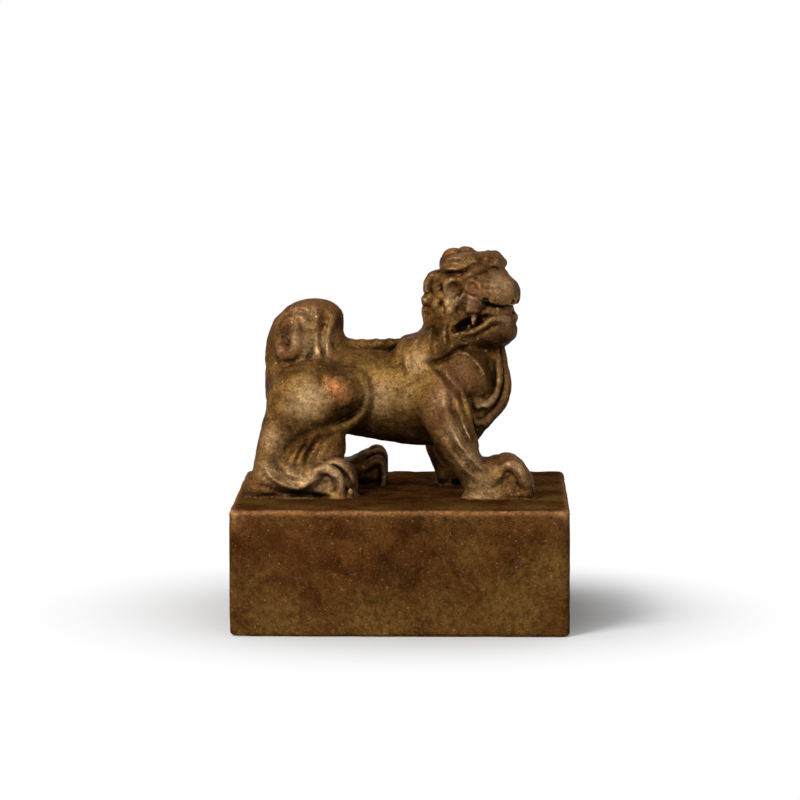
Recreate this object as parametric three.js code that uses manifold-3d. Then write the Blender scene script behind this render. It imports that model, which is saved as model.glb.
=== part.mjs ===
// A bronze seal stamp: a square block with a cut printing face, and on it a walking guardian lion as the
// knob. Millimetres, +Z up, +X the way the lion walks, +Y to the lion's left. The origin is the centre of
// the printing face. The lion is built from the forms that its wax model is put together from, each one
// seated on the forms before it.
import * as THREE from "three";
import { mergeVertices } from "three/addons/utils/BufferGeometryUtils.js";
import Module from "manifold-3d";

const wasm = await Module();
wasm.setup();

// The block and its printing face.
const block = { side: 45, height: 16.8, corner: 1.4, edge: 0.7 };
const face = { border: 3.2, turns: 5.25, depth: 1.2 };

// The seam left between two neighbouring forms, and the shortest edge that the skin keeps.
const seam = 0.3;
const shortestEdge = 0.06;

// The lion, measured from the top of the block.
const torso = { hipX: -12.8, length: 17.6, backZ: 19.8, bellyZ: 6.4, halfWidth: 5.6 };
const ridge = { thick: 1.4, rise: 0.75, scallops: 5, start: 5.2, end: 14.4 };
const stance = { halfSpan: 7.3 };
const haunch = { halfHeight: 5, kneeReach: 5.3, kneeRadius: 2.9, bulge: 2.7 };
const fold = { thick: 0.75, gap: 1.6 };
const shank = { halfWidth: 2.2, halfDepth: 2.2, hockZ: 2.4 };
const hindPaw = { length: 11.2, height: 4.6, halfWidth: 2.6, instep: 0.5 };
const foreleg = { halfWidth: 2.5, halfDepth: 3.2, wristZ: 2.6 };
const forePaw = { length: 8, height: 5.7, halfWidth: 2.7, instep: 0.72 };
const toe = { count: 3, radius: 0.95 };

// How far each foot is set forward of its hip or shoulder, and how long and high its paw is drawn.
const feet = {
  right_hind: { step: -5.2, long: 1, high: 1 },
  left_hind: { step: 1.8, long: 0.79, high: 1 },
  right_fore: { step: 5, long: 1, high: 1 },
  left_fore: { step: 1.5, long: 0.84, high: 0.84 },
};
const tuft = { length: 9, halfWidth: 0.8, halfDepth: 1.5 };
const tail = { behindHip: 1.6, belowBack: 3.8, height: 10.8, halfLength: 5.35, halfThickness: 2.7 };
const tailCurl = { radius: 2.7, thickness: 1.25, turns: 0.95 };
const neck = { halfWidth: 4.9, halfDepth: 4.3 };
const breast = { ahead: 9.9, halfWidth: 4.8, bottom: 5.4 };
const plate = { thick: 1.1, halfLength: 4, halfHeight: 4.6 };
const lock = { count: 2, thick: 0.95, drop: 8.2 };
const head = { ahead: 3.9, above: 7.5, aside: -0.6, turn: -28 };
const skull = { halfLength: 4.9, halfWidth: 4.7, halfHeight: 4.3 };
const muzzle = { reach: 5.6, halfWidth: 3.3, halfHeight: 2.8 };
const nose = { halfWidth: 2.1, halfHeight: 1.5 };
const teeth = { halfWidth: 2.5, halfHeight: 0.9 };
const jaw = { reach: 6, halfWidth: 2.9, halfHeight: 2.2 };
const eye = { radius: 1 };
const brow = { thick: 0.8 };
const ear = { length: 3, halfWidth: 1.6, thick: 0.9 };
const curl = { radius: 1.8, rim: 0.55 };
const hair = { halfLength: 3.7, halfWidth: 4.4, halfHeight: 3.6 };

const patina = { block: 0x4a2c17, lion: 0x6a5230, worn: 0x8a5a34 };

const degree = Math.PI / 180;
const lerp = THREE.MathUtils.lerp;
const point = (x, y, z) => new THREE.Vector3(x, y, z);
const middleZ = (torso.backZ + torso.bellyZ) / 2;
const torsoHalfHeight = (torso.backZ - torso.bellyZ) / 2;
const shoulderX = torso.hipX + torso.length;
const breastX = shoulderX + breast.ahead;

// A closed skin round a smooth line through stations { at, wide, tall }. wide is the half size along
// side, tall the half size square to it. Both ends are domes, cap times as deep as the end is thick. grow
// makes the whole skin fatter.
function limb(stations, { side = point(0, 1, 0), around = 12, steps = 2, domeSteps = 2, cap = 0.8 } = {}) {
  return (grow) => {
    const line = new THREE.CatmullRomCurve3(stations.map((s) => s.at));
    const sizes = new THREE.CatmullRomCurve3(stations.map((s) => point(s.wide, s.tall, 0)));
    const runs = steps * (stations.length - 1);
    const rings = [];
    const addRing = (t, shift, share) => {
      const forward = line.getTangent(t);
      const across = side.clone().addScaledVector(forward, -side.dot(forward)).normalize();
      const up = new THREE.Vector3().crossVectors(forward, across);
      const size = sizes.getPoint(t);
      const middle = line.getPoint(t).addScaledVector(forward, shift);
      rings.push({ middle, across, up, wide: (size.x + grow) * share, tall: (size.y + grow) * share });
    };
    const domeDepth = (size) => cap * Math.min(size.x, size.y) + grow;
    const startDepth = domeDepth(sizes.getPoint(0));
    const endDepth = domeDepth(sizes.getPoint(1));
    for (let i = 1; i < domeSteps; i++) {
      const angle = (i / domeSteps) * 90 * degree;
      addRing(0, -startDepth * Math.cos(angle), Math.sin(angle));
    }
    for (let i = 0; i <= runs; i++) addRing(i / runs, 0, 1);
    for (let i = domeSteps - 1; i > 0; i--) {
      const angle = (i / domeSteps) * 90 * degree;
      addRing(1, endDepth * Math.cos(angle), Math.sin(angle));
    }
    const startPole = line.getPoint(0).addScaledVector(line.getTangent(0), -startDepth);
    const endPole = line.getPoint(1).addScaledVector(line.getTangent(1), endDepth);
    return skinOf(rings, startPole, endPole, around);
  };
}

// The faces that join rings of points to each other and to a pole at each end.
function skinOf(rings, startPole, endPole, around) {
  const positions = [...startPole.toArray()];
  for (const { middle, across, up, wide, tall } of rings) {
    for (let j = 0; j < around; j++) {
      const angle = (j / around) * 2 * Math.PI;
      const p = middle.clone();
      p.addScaledVector(across, wide * Math.cos(angle)).addScaledVector(up, tall * Math.sin(angle));
      positions.push(p.x, p.y, p.z);
    }
  }
  positions.push(...endPole.toArray());
  const at = (ring, j) => 1 + ring * around + (j % around);
  const last = 1 + rings.length * around;
  const faces = [];
  for (let j = 0; j < around; j++) {
    faces.push(0, at(0, j + 1), at(0, j));
    for (let i = 0; i < rings.length - 1; i++) {
      faces.push(at(i, j), at(i, j + 1), at(i + 1, j), at(i, j + 1), at(i + 1, j + 1), at(i + 1, j));
    }
    faces.push(last, at(rings.length - 1, j), at(rings.length - 1, j + 1));
  }
  const geometry = new THREE.BufferGeometry();
  geometry.setAttribute("position", new THREE.Float32BufferAttribute(positions, 3));
  geometry.setIndex(faces);
  return geometry;
}

// An egg with three half sizes, turned about +Z by turn degrees.
function egg(at, halfX, halfY, halfZ, turn = 0, around = 14) {
  return (grow) => {
    const geometry = new THREE.SphereGeometry(1, around, Math.round(around * 0.5));
    geometry.scale(halfX + grow, halfY + grow, halfZ + grow);
    geometry.rotateZ(turn * degree);
    return geometry.translate(at.x, at.y, at.z);
  };
}

// A flat-sided piece's solid, or a skin's, for cutting and joining.
function solidOf(geometry) {
  const bare = geometry.clone();
  bare.deleteAttribute("normal");
  bare.deleteAttribute("uv");
  const merged = mergeVertices(bare, 1e-4);
  return new wasm.Manifold(
    new wasm.Mesh({
      numProp: 3,
      vertProperties: new Float32Array(merged.attributes.position.array),
      triVerts: new Uint32Array(merged.index.array),
    }),
  );
}

function geometryOf(solid) {
  const { corners, faces } = withoutSplinters(solid.getMesh());
  const geometry = new THREE.BufferGeometry();
  geometry.setAttribute("position", new THREE.Float32BufferAttribute(corners.flatMap((p) => p.toArray()), 3));
  geometry.setIndex(faces.flat());
  const flat = geometry.toNonIndexed();
  flat.computeVertexNormals();
  return flat;
}

// Where two skins cut each other, tiny splinters of faces are left along the cut. The two ends of each
// very short edge are drawn together, as long as the skin stays closed and no face round them turns over.
function withoutSplinters(mesh) {
  const corners = [];
  for (let i = 0; i < mesh.vertProperties.length; i += 3) {
    corners.push(point(...mesh.vertProperties.slice(i, i + 3)));
  }
  let faces = [];
  for (let i = 0; i < mesh.triVerts.length; i += 3) faces.push([...mesh.triVerts.slice(i, i + 3)]);
  const around = corners.map(() => new Set());
  for (const face of faces) for (const corner of face) around[corner].add(face);
  const nextTo = (a) => new Set([...around[a]].flat().filter((b) => b !== a));
  const normal = ([a, b, c]) => corners[b].clone().sub(corners[a]).cross(corners[c].clone().sub(corners[a]));
  const moved = (face, from, to) => face.map((corner) => (corner === from ? to : corner));
  const queue = faces.flatMap((face) => face.map((a, i) => [a, face[(i + 1) % 3]]));
  for (let i = 0; i < queue.length; i++) {
    const [from, to] = queue[i];
    if (!around[from].size || !around[to].size || !nextTo(from).has(to)) continue;
    if (corners[from].distanceTo(corners[to]) > shortestEdge) continue;
    const shared = [...nextTo(from)].filter((b) => nextTo(to).has(b));
    if (shared.length !== 2) continue;
    const kept = [...around[from]].filter((face) => !face.includes(to));
    if (kept.some((face) => normal(face).dot(normal(moved(face, from, to))) < 0)) continue;
    for (const face of around[from]) {
      for (const corner of face) {
        if (corner !== from) around[corner].delete(face);
      }
    }
    around[from].clear();
    for (const face of kept) {
      const next = moved(face, from, to);
      for (const corner of next) around[corner].add(next);
      next.forEach((a, j) => queue.push([a, next[(j + 1) % 3]], [next[(j + 1) % 3], a]));
    }
  }
  faces = [...new Set(around.flatMap((set) => [...set]))];
  const used = [...new Set(faces.flat())];
  const place = new Map(used.map((corner, i) => [corner, i]));
  return {
    corners: used.map((corner) => corners[corner]),
    faces: faces.map((face) => face.map((corner) => place.get(corner))),
  };
}

// A cut can leave crumbs on the far side of a neighbour, and only the main body is kept.
function mainBody(solid) {
  return solid.decompose().reduce((best, body) => (body.volume() > best.volume() ? body : best));
}

function boxBetween(low, high) {
  const size = high.clone().sub(low);
  const middle = high.clone().add(low).multiplyScalar(0.5);
  return new THREE.BoxGeometry(size.x, size.y, size.z).translate(middle.x, middle.y, middle.z);
}

// The square spiral of one quarter of the printing face, in line spacings from the border inwards.
const first = 0.75;
const fretPath = [
  [first, -first],
  [first, first + 4],
  [first + 4, first + 4],
  [first + 4, first],
  [first + 1, first],
  [first + 1, first + 3],
  [first + 3, first + 3],
  [first + 3, first + 1],
  [first + 2, first + 1],
  [first + 2, first + 2],
];

// The ground between the raised lines of the printing face.
function fretGround() {
  const half = block.side / 2 - face.border;
  const spacing = half / face.turns;
  const line = spacing / 2;
  let ground = solidOf(boxBetween(point(-half, -half, -face.depth), point(half, half, face.depth)));
  for (const flipX of [-1, 1]) {
    for (const flipY of [-1, 1]) {
      const corners = fretPath.map(([u, v]) =>
        point(flipX * (u * spacing - half), flipY * (v * spacing - half), 0),
      );
      for (let i = 0; i + 1 < corners.length; i++) {
        const reach = point(line / 2, line / 2, 2 * face.depth);
        const low = corners[i].clone().min(corners[i + 1]).sub(reach);
        const high = corners[i].clone().max(corners[i + 1]).add(reach);
        ground = ground.subtract(solidOf(boxBetween(low, high)));
      }
    }
  }
  return ground;
}

function roundedSquare(side, radius) {
  const half = side / 2;
  const shape = new THREE.Shape();
  for (let i = 0; i < 4; i++) {
    const angle = i * 90 * degree;
    const middle = new THREE.Vector2(half - radius, half - radius).rotateAround(new THREE.Vector2(), angle);
    shape.absarc(middle.x, middle.y, radius, angle, angle + 90 * degree, false);
  }
  return shape;
}

function sealBlock() {
  const body = new THREE.ExtrudeGeometry(roundedSquare(block.side, block.corner), {
    depth: block.height - 2 * block.edge,
    bevelThickness: block.edge,
    bevelSize: block.edge,
    bevelOffset: -block.edge,
    bevelSegments: 2,
    curveSegments: 3,
  }).translate(0, 0, block.edge);
  return mainBody(solidOf(body).subtract(fretGround()));
}

// The barrel of the body, from rump to breast.
function torsoForm() {
  const station = (along, top, bottom, wide) => ({
    at: point(torso.hipX + along * torso.length, 0, middleZ + ((top - bottom) / 2) * torsoHalfHeight),
    wide: torso.halfWidth * wide,
    tall: ((top + bottom) / 2) * torsoHalfHeight,
  });
  return limb(
    [
      station(-0.15, 0.82, 0.42, 0.7),
      station(0.06, 0.98, 0.74, 0.95),
      station(0.3, 1, 0.8, 0.9),
      station(0.6, 0.99, 0.95, 0.92),
      station(0.88, 1.02, 1.04, 1.02),
      station(1.08, 1, 0.96, 0.98),
      station(1.18, 0.76, 0.7, 0.7),
    ],
    { around: 16 },
  );
}

// The crest of short hair that runs along the back.
function ridgeForm() {
  const stations = [];
  for (let i = 0; i <= 2 * ridge.scallops; i++) {
    const x = torso.hipX + lerp(ridge.start, ridge.end, i / (2 * ridge.scallops));
    const tall = 0.7 + ridge.rise * (i % 2 ? 1 : 0.6);
    stations.push({ at: point(x, 0, torso.backZ - 0.6), wide: ridge.thick, tall });
  }
  return limb(stations, { around: 8, steps: 1 });
}

// Legs are the same on both sides but for how far each foot is set forward of hip or shoulder.
function haunchForm(hand, { step }) {
  const { hipX } = torso;
  const { bulge, halfHeight, kneeReach, kneeRadius } = haunch;
  const out = (share) => hand * (stance.halfSpan - bulge * share);
  return limb([
    { at: point(hipX - 2.6, out(1), middleZ + 2.4), wide: bulge, tall: halfHeight * 0.76 },
    { at: point(hipX + step * 0.25, out(0.66), middleZ + 1.3), wide: bulge * 1.15, tall: halfHeight },
    { at: point(hipX + 3 + step * 0.25, out(0.46), middleZ + 0.7), wide: bulge, tall: halfHeight * 0.78 },
    {
      at: point(hipX + kneeReach + step * 0.25, out(0.4), middleZ + 0.6),
      wide: bulge * 0.85,
      tall: kneeRadius,
    },
  ]);
}

// The raised fold of skin that runs round the front of the knee and back under it.
function foldForm(hand, { step }) {
  const kneeX = torso.hipX + haunch.kneeReach + step * 0.25;
  const y = hand * (torso.halfWidth - 0.3);
  const reach = haunch.kneeRadius + fold.gap;
  const stations = [50, 15, -20, -55, -88].map((angle, i) => {
    const long = i < 3 ? reach : reach * lerp(1, 1.2, (i - 2) / 2);
    return {
      at: point(kneeX + Math.cos(angle * degree) * long, y, middleZ + 0.6 + Math.sin(angle * degree) * reach),
      wide: fold.thick * 1.5,
      tall: fold.thick,
    };
  });
  return limb(stations, { around: 8, steps: 2 });
}

function shankForm(hand, { step }) {
  const y = hand * stance.halfSpan;
  const footX = torso.hipX + step;
  const topX = lerp(torso.hipX, footX, 0.5) + 0.4;
  const { halfWidth, halfDepth, hockZ } = shank;
  return limb([
    { at: point(topX, y * 0.86, middleZ - 0.4), wide: halfWidth * 1.1, tall: halfDepth * 1.5 },
    { at: point(lerp(topX, footX, 0.66), y * 0.97, middleZ - 4), wide: halfWidth, tall: halfDepth * 1.12 },
    { at: point(footX + 0.3, y, lerp(middleZ, hockZ, 0.7)), wide: halfWidth * 0.95, tall: halfDepth },
    { at: point(footX, y, hockZ), wide: halfWidth, tall: halfDepth },
  ]);
}

function forelegForm(hand, { step }) {
  const y = hand * stance.halfSpan;
  const { halfWidth, halfDepth, wristZ } = foreleg;
  const footX = shoulderX + step;
  const topX = shoulderX + (step - feet.right_fore.step) * 0.2;
  return limb([
    { at: point(topX - 0.7, y * 0.72, middleZ + 1.6), wide: halfWidth * 0.9, tall: halfDepth * 1.06 },
    { at: point(topX + 0.2, y * 0.88, middleZ - 1.6), wide: halfWidth * 1.05, tall: halfDepth * 1.12 },
    { at: point(lerp(topX, footX, 0.5), y * 0.97, middleZ - 6.2), wide: halfWidth, tall: halfDepth * 0.92 },
    { at: point(footX, y, wristZ), wide: halfWidth, tall: halfDepth * 0.8 },
  ]);
}

// A lock of long hair lies down the outside of each foreleg, along its front edge.
function tuftForm(hand, { step }) {
  const y = hand * (stance.halfSpan + foreleg.halfWidth * 0.7);
  const topX = shoulderX + (step - feet.right_fore.step) * 0.2 + foreleg.halfDepth * 0.5;
  const footX = shoulderX + step;
  const topZ = middleZ + 1.4;
  const station = (share, tall) => ({
    at: point(
      lerp(topX, footX + 0.6, share * share * 0.55 + share * 0.3),
      y * lerp(0.86, 1, share),
      topZ - tuft.length * share,
    ),
    wide: tuft.halfWidth,
    tall: tuft.halfDepth * tall,
  });
  return limb([station(0, 0.5), station(0.35, 1), station(0.7, 0.8), station(1, 0.3)], {
    around: 8,
    steps: 2,
  });
}

// A paw is a sole with toes that arch over it side by side, each ending in a claw.
function pawForm(paw, hand, fromX, { step, long, high }) {
  const y = hand * stance.halfSpan;
  const { halfWidth, instep } = paw;
  const ankleX = fromX + step;
  const length = paw.length * long;
  const height = paw.height * high;
  const station = (share, top, wide) => ({
    at: point(ankleX + length * share, y, top / 2 - 0.2),
    wide: halfWidth * wide,
    tall: top / 2 + 0.2,
  });
  const sole = limb(
    [
      station(-0.1, height * (instep + 0.1), 0.88),
      station(0.28, height * instep, 0.88),
      station(0.6, height * 0.74, 0.96),
      station(0.84, height * 0.5, 0.9),
    ],
    { around: 10, steps: 1 },
  );
  return (grow) => {
    let solid = solidOf(sole(grow));
    for (let i = 0; i < toe.count; i++) {
      const across = lerp(-1, 1, i / (toe.count - 1)) * (halfWidth - toe.radius * 0.8);
      const arch = [
        [0.36, height * instep - toe.radius * 0.7],
        [0.66, height - toe.radius],
        [0.88, height * 0.62 - toe.radius * 0.3],
        [0.97, toe.radius * 0.6],
      ];
      const stations = arch.map(([share, z]) => ({
        at: point(ankleX + length * share, y + across, z),
        wide: toe.radius,
        tall: toe.radius,
      }));
      solid = solid.add(solidOf(limb(stations, { around: 7, steps: 2, domeSteps: 1 })(grow)));
    }
    return solid;
  };
}

// The brush of the tail stands up from the rump as one thick leaf.
const tailX = torso.hipX - tail.behindHip;
const tailZ = torso.backZ - tail.belowBack;

function tailForm() {
  const station = (share, shift, long, thick) => ({
    at: point(tailX + shift, 0, tailZ + tail.height * share),
    wide: tail.halfThickness * thick,
    tall: tail.halfLength * long,
  });
  return limb(
    [
      station(0, 0, 0.72, 0.9),
      station(0.24, 0.7, 0.98, 1.05),
      station(0.46, 1.3, 0.98, 1.1),
      station(0.66, 1.8, 0.87, 1.05),
      station(0.82, 2.2, 0.7, 0.9),
      station(0.9, 2.4, 0.52, 0.75),
    ],
    { around: 16, steps: 2, cap: 0.5 },
  );
}

// A strand that rolls in on itself on one face of the tail.
function tailCurlForm(hand) {
  const { radius, thickness, turns } = tailCurl;
  const middle = point(tailX + 0.1, hand * (tail.halfThickness + 0.1), tailZ + tail.height * 0.5);
  const stations = [];
  const points = 7;
  for (let i = 0; i < points; i++) {
    const share = i / (points - 1);
    const angle = (200 - 360 * turns * share) * degree;
    const at = point(Math.cos(angle) * 0.95, 0, Math.sin(angle) * 1.35);
    at.multiplyScalar(radius * lerp(1, 0.3, share)).add(middle);
    stations.push({ at, wide: thickness, tall: thickness * 0.9 });
  }
  return limb(stations, { around: 8, steps: 2 });
}

const headAt = point(shoulderX + head.ahead, head.aside, torso.backZ + head.above);

function neckForm() {
  const { halfWidth, halfDepth } = neck;
  return limb(
    [
      { at: point(shoulderX + 0.6, 0, torso.backZ - 3), wide: halfWidth, tall: halfDepth * 1.02 },
      { at: point(shoulderX + 2, 0, torso.backZ), wide: halfWidth, tall: halfDepth * 1.05 },
      { at: point(headAt.x - 1.2, headAt.y * 0.5, torso.backZ + 3), wide: halfWidth * 0.96, tall: halfDepth },
      { at: point(headAt.x - 0.8, headAt.y, headAt.z - 2), wide: halfWidth, tall: halfDepth },
    ],
    { around: 16, steps: 2 },
  );
}

function breastForm() {
  const { halfWidth, bottom } = breast;
  const station = (z, behind, wide, deep) => ({
    at: point(breastX - behind - deep, 0, z),
    wide: halfWidth * wide,
    tall: deep,
  });
  return limb(
    [
      station(torso.backZ + 1, 1.2, 0.8, 4),
      station(middleZ + 3, 0.7, 1, 4.6),
      station(middleZ, 0.9, 0.94, 4.4),
      station(lerp(middleZ, bottom, 0.5), 3, 0.74, 3.4),
      station(bottom + 0.8, 4.9, 0.5, 1.8),
    ],
    { around: 16, steps: 2 },
  );
}

// The smooth plate that lies over each side of the breast.
function plateForm(hand) {
  const at = point(breastX - 5.4, hand * (breast.halfWidth - 0.6), middleZ + 3.4);
  return egg(at, plate.halfLength, plate.thick, plate.halfHeight, hand * -22);
}

// Locks of the beard hang down the edge of the breast and hook back at their ends.
function lockForm(hand, index) {
  const { thick, drop } = lock;
  const y = hand * lerp(3.2, 1.1, index);
  const length = drop * lerp(0.8, 1.12, index);
  const x = breastX - lerp(1.9, 0.8, index);
  const topZ = torso.backZ + 0.2;
  const station = (behind, down) => ({
    at: point(x - behind, y, topZ - length * down),
    wide: thick,
    tall: thick,
  });
  return limb([station(1.1, 0), station(0, 0.4), station(0.2, 0.75), station(1.6, 1), station(3, 0.92)], {
    around: 8,
    steps: 2,
  });
}

const headAxis = point(0, 0, 1);

function inHead(x, y, z) {
  return point(x, y, z).applyAxisAngle(headAxis, head.turn * degree).add(headAt);
}

function headLimb(stations, options = {}) {
  const side = point(0, 1, 0).applyAxisAngle(headAxis, head.turn * degree);
  const placed = stations.map(([x, y, z, wide, tall]) => ({ at: inHead(x, y, z), wide, tall }));
  return limb(placed, { side, ...options });
}

function skullForm() {
  return egg(inHead(0, 0, 0.2), skull.halfLength, skull.halfWidth, skull.halfHeight, head.turn, 16);
}

// The thick hair that covers the crown and the back of the head.
function hairForm() {
  return egg(inHead(-0.7, 0, 1.7), hair.halfLength, hair.halfWidth, hair.halfHeight, head.turn, 14);
}

function muzzleForm() {
  const { reach, halfWidth, halfHeight } = muzzle;
  return headLimb(
    [
      [reach - 3.8, 0, 0.3, halfWidth * 1.08, halfHeight * 1.05],
      [reach - 1.4, 0, 0.3, halfWidth, halfHeight],
      [reach, 0, 0.2, halfWidth * 0.86, halfHeight * 0.84],
    ],
    { steps: 2 },
  );
}

function noseForm() {
  const { reach, halfHeight } = muzzle;
  return headLimb(
    [
      [reach - 2.2, 0, halfHeight * 0.6, nose.halfWidth * 0.85, nose.halfHeight],
      [reach + 0.9, 0, halfHeight * 0.06, nose.halfWidth, nose.halfHeight],
    ],
    { around: 12 },
  );
}

function teethForm() {
  const z = 0.3 - muzzle.halfHeight;
  const { halfWidth, halfHeight } = teeth;
  return headLimb(
    [
      [1.4, 0, z - 0.5, halfWidth, halfHeight],
      [muzzle.reach + 0.5, 0, z - 0.1, halfWidth * 0.9, halfHeight],
    ],
    { around: 12, steps: 2 },
  );
}

function jawForm() {
  const z = -muzzle.halfHeight - teeth.halfHeight;
  const { reach, halfWidth, halfHeight } = jaw;
  return headLimb(
    [
      [reach - 5, 0, z - 1.9, halfWidth * 1.08, halfHeight],
      [reach - 2.4, 0, z - 1.5, halfWidth, halfHeight],
      [reach - 0.4, 0, z - 0.6, halfWidth * 0.86, halfHeight * 0.82],
    ],
    { steps: 2 },
  );
}

function eyeForm(hand) {
  const at = inHead(skull.halfLength * 0.6, hand * (skull.halfWidth - 1.2), 0.6);
  return egg(at, eye.radius, eye.radius, eye.radius, head.turn, 10);
}

function browForm(hand) {
  const y = skull.halfWidth;
  return headLimb(
    [
      [3.6, hand * (y - 3), 3.1, brow.thick, brow.thick],
      [3, hand * (y - 1.3), 2.3, brow.thick, brow.thick],
      [1.6, hand * (y - 0.3), 1.2, brow.thick, brow.thick],
    ],
    { side: headAxis, around: 8, steps: 2 },
  );
}

function earForm(hand) {
  const y = hand * (skull.halfWidth - 0.1);
  const { length, halfWidth, thick } = ear;
  return headLimb(
    [
      [1.4, y, 1, thick, halfWidth * 0.6],
      [0.2, y + hand * 0.3, 0.5, thick, halfWidth],
      [1 - length, y, 0.6, thick * 0.7, halfWidth * 0.5],
    ],
    { around: 8, steps: 2 },
  );
}

function jowlForm(hand) {
  return egg(inHead(-0.8, hand * (skull.halfWidth - 0.7), -2.6), 2.2, 1.8, 2.1, head.turn, 12);
}

// Snail curls of hair: a knob with a rolled rim round it, seated on the form below.
function curlForm(x, y, z, size = 1) {
  const at = inHead(x, y, z);
  const out = at.clone().sub(headAt).normalize();
  const radius = curl.radius * size;
  return (grow) => {
    const ring = new THREE.TorusGeometry(radius * 0.72 + grow * 0.3, curl.rim * size + grow, 6, 12);
    const knob = new THREE.SphereGeometry(radius * 0.9 + grow, 10, 7);
    ring.lookAt(out);
    ring.translate(...at.clone().addScaledVector(out, radius * 0.52).toArray());
    knob.translate(at.x, at.y, at.z);
    return solidOf(ring).add(solidOf(knob));
  };
}

const hands = [
  ["right", -1],
  ["left", 1],
];

// Every form of the lion, in the order in which each is seated on those before it.
const forms = [];
const add = (name, form, tint = patina.lion) => forms.push({ name, form, tint });

add("torso", torsoForm());
for (const [side, hand] of hands) {
  const hind = feet[side + "_hind"];
  const fore = feet[side + "_fore"];
  add(side + "_haunch", haunchForm(hand, hind), patina.worn);
  add(side + "_knee_fold", foldForm(hand, hind));
  add(side + "_shank", shankForm(hand, hind));
  add(side + "_hind_paw", pawForm(hindPaw, hand, torso.hipX, hind));
  add(side + "_foreleg", forelegForm(hand, fore));
  add(side + "_foreleg_tuft", tuftForm(hand, fore));
  add(side + "_fore_paw", pawForm(forePaw, hand, shoulderX, fore));
}
add("spine_ridge", ridgeForm());
add("tail_brush", tailForm());
for (const [side, hand] of hands) add("tail_curl_" + side, tailCurlForm(hand));
add("neck", neckForm());
add("breast", breastForm());
for (const [side, hand] of hands) {
  add("breast_plate_" + side, plateForm(hand));
  for (let i = 0; i < lock.count; i++) add("beard_lock_" + side + "_" + (i + 1), lockForm(hand, i));
}
add("skull", skullForm());
add("hair", hairForm());
add("muzzle", muzzleForm(), patina.worn);
add("teeth", teethForm());
add("lower_jaw", jawForm());
add("nose", noseForm(), patina.worn);
for (const [side, hand] of hands) {
  add(side + "_eye", eyeForm(hand));
  add(side + "_brow", browForm(hand));
  add(side + "_ear", earForm(hand));
  add(side + "_jowl", jowlForm(hand));
  add("forehead_curl_" + side, curlForm(2.3, hand * 2.6, skull.halfHeight - 0.5));
  add("nape_curl_" + side, curlForm(1.3 - skull.halfLength, hand * 2.7, 1.8, 0.85));
}
add("crown_curl", curlForm(-1.2, 0, skull.halfHeight, 1));
add("nape_curl_middle", curlForm(0.7 - skull.halfLength, 0, 0.6, 0.85));
add("nape_curl_low", curlForm(0.3 - skull.halfLength, 0, -2.2, 0.8));

function bronze(colour) {
  return new THREE.MeshStandardMaterial({ color: colour, roughness: 0.5, metalness: 0.8 });
}

const seal = new THREE.Group();
const blockMesh = new THREE.Mesh(geometryOf(sealBlock()), bronze(patina.block));
blockMesh.name = "seal_block";
seal.add(blockMesh);

const lion = new THREE.Group();
lion.position.z = block.height;
seal.add(lion);

// Soles are ground flat where the lion stands on the block.
const underGround = solidOf(boxBetween(point(-60, -60, -60), point(60, 60, 0)));
const built = (form, grow) => {
  const made = form(grow);
  return made.isBufferGeometry ? solidOf(made) : made;
};
const seated = [];
for (const { name, form, tint } of forms) {
  let solid = built(form, 0).subtract(underGround);
  for (const below of seated) solid = solid.subtract(below);
  seated.push(built(form, seam));
  const mesh = new THREE.Mesh(geometryOf(mainBody(solid)), bronze(tint));
  mesh.name = name;
  lion.add(mesh);
}

export default seal;
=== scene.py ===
# A bronze seal stamp for the desk: a square block with a cut printing face, and a walking guardian lion
# as its knob. Forms are worked out in millimetres and put into Blender in metres. +X is the way the lion
# walks, and -Y is its right side, the side seen first. Lion heights are measured from the top of the
# block.
import bpy
import numpy as np
from concurrent.futures import ThreadPoolExecutor
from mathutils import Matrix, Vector


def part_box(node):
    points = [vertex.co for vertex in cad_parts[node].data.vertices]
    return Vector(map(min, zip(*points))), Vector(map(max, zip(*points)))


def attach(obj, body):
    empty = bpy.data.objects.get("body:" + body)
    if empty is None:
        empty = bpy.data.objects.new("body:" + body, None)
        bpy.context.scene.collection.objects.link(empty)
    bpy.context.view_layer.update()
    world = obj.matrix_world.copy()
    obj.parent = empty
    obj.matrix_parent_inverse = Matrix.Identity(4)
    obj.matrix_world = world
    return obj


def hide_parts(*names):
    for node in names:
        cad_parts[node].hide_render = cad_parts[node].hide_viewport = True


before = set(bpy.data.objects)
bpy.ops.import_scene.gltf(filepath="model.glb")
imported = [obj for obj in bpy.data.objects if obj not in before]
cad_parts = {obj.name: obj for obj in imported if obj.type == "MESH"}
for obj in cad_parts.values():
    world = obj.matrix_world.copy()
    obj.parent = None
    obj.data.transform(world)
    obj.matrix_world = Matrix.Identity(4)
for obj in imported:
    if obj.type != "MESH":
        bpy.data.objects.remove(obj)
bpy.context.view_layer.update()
mm = 0.001
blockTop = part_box("seal_block")[1][2] / mm
print("frame loaded, block top at", round(blockTop, 2), "mm")


# A smooth line through rows: each span is the cubic through its two ends, whose slopes are half the chord
# between the rows on either side. Everything after x, y, z in a row, such as a radius, is carried along
# in the same way.
def smoothPath(rows, per=5):
    p = np.asarray(rows, float)
    q = np.vstack([2 * p[0] - p[1], p, 2 * p[-1] - p[-2]])
    a, b, c, d = (q[i:len(q) - 3 + i][:, None] for i in range(4))
    t = np.linspace(0, 1, per, endpoint=False)[:, None]
    span = b + (c - a) * t / 2 + (2 * a - 5 * b + 4 * c - d) * t**2 / 2 + (3 * b - a - 3 * c + d) * t**3 / 2
    return np.vstack([span.reshape(-1, p.shape[1]), p[-1:]])


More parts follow.
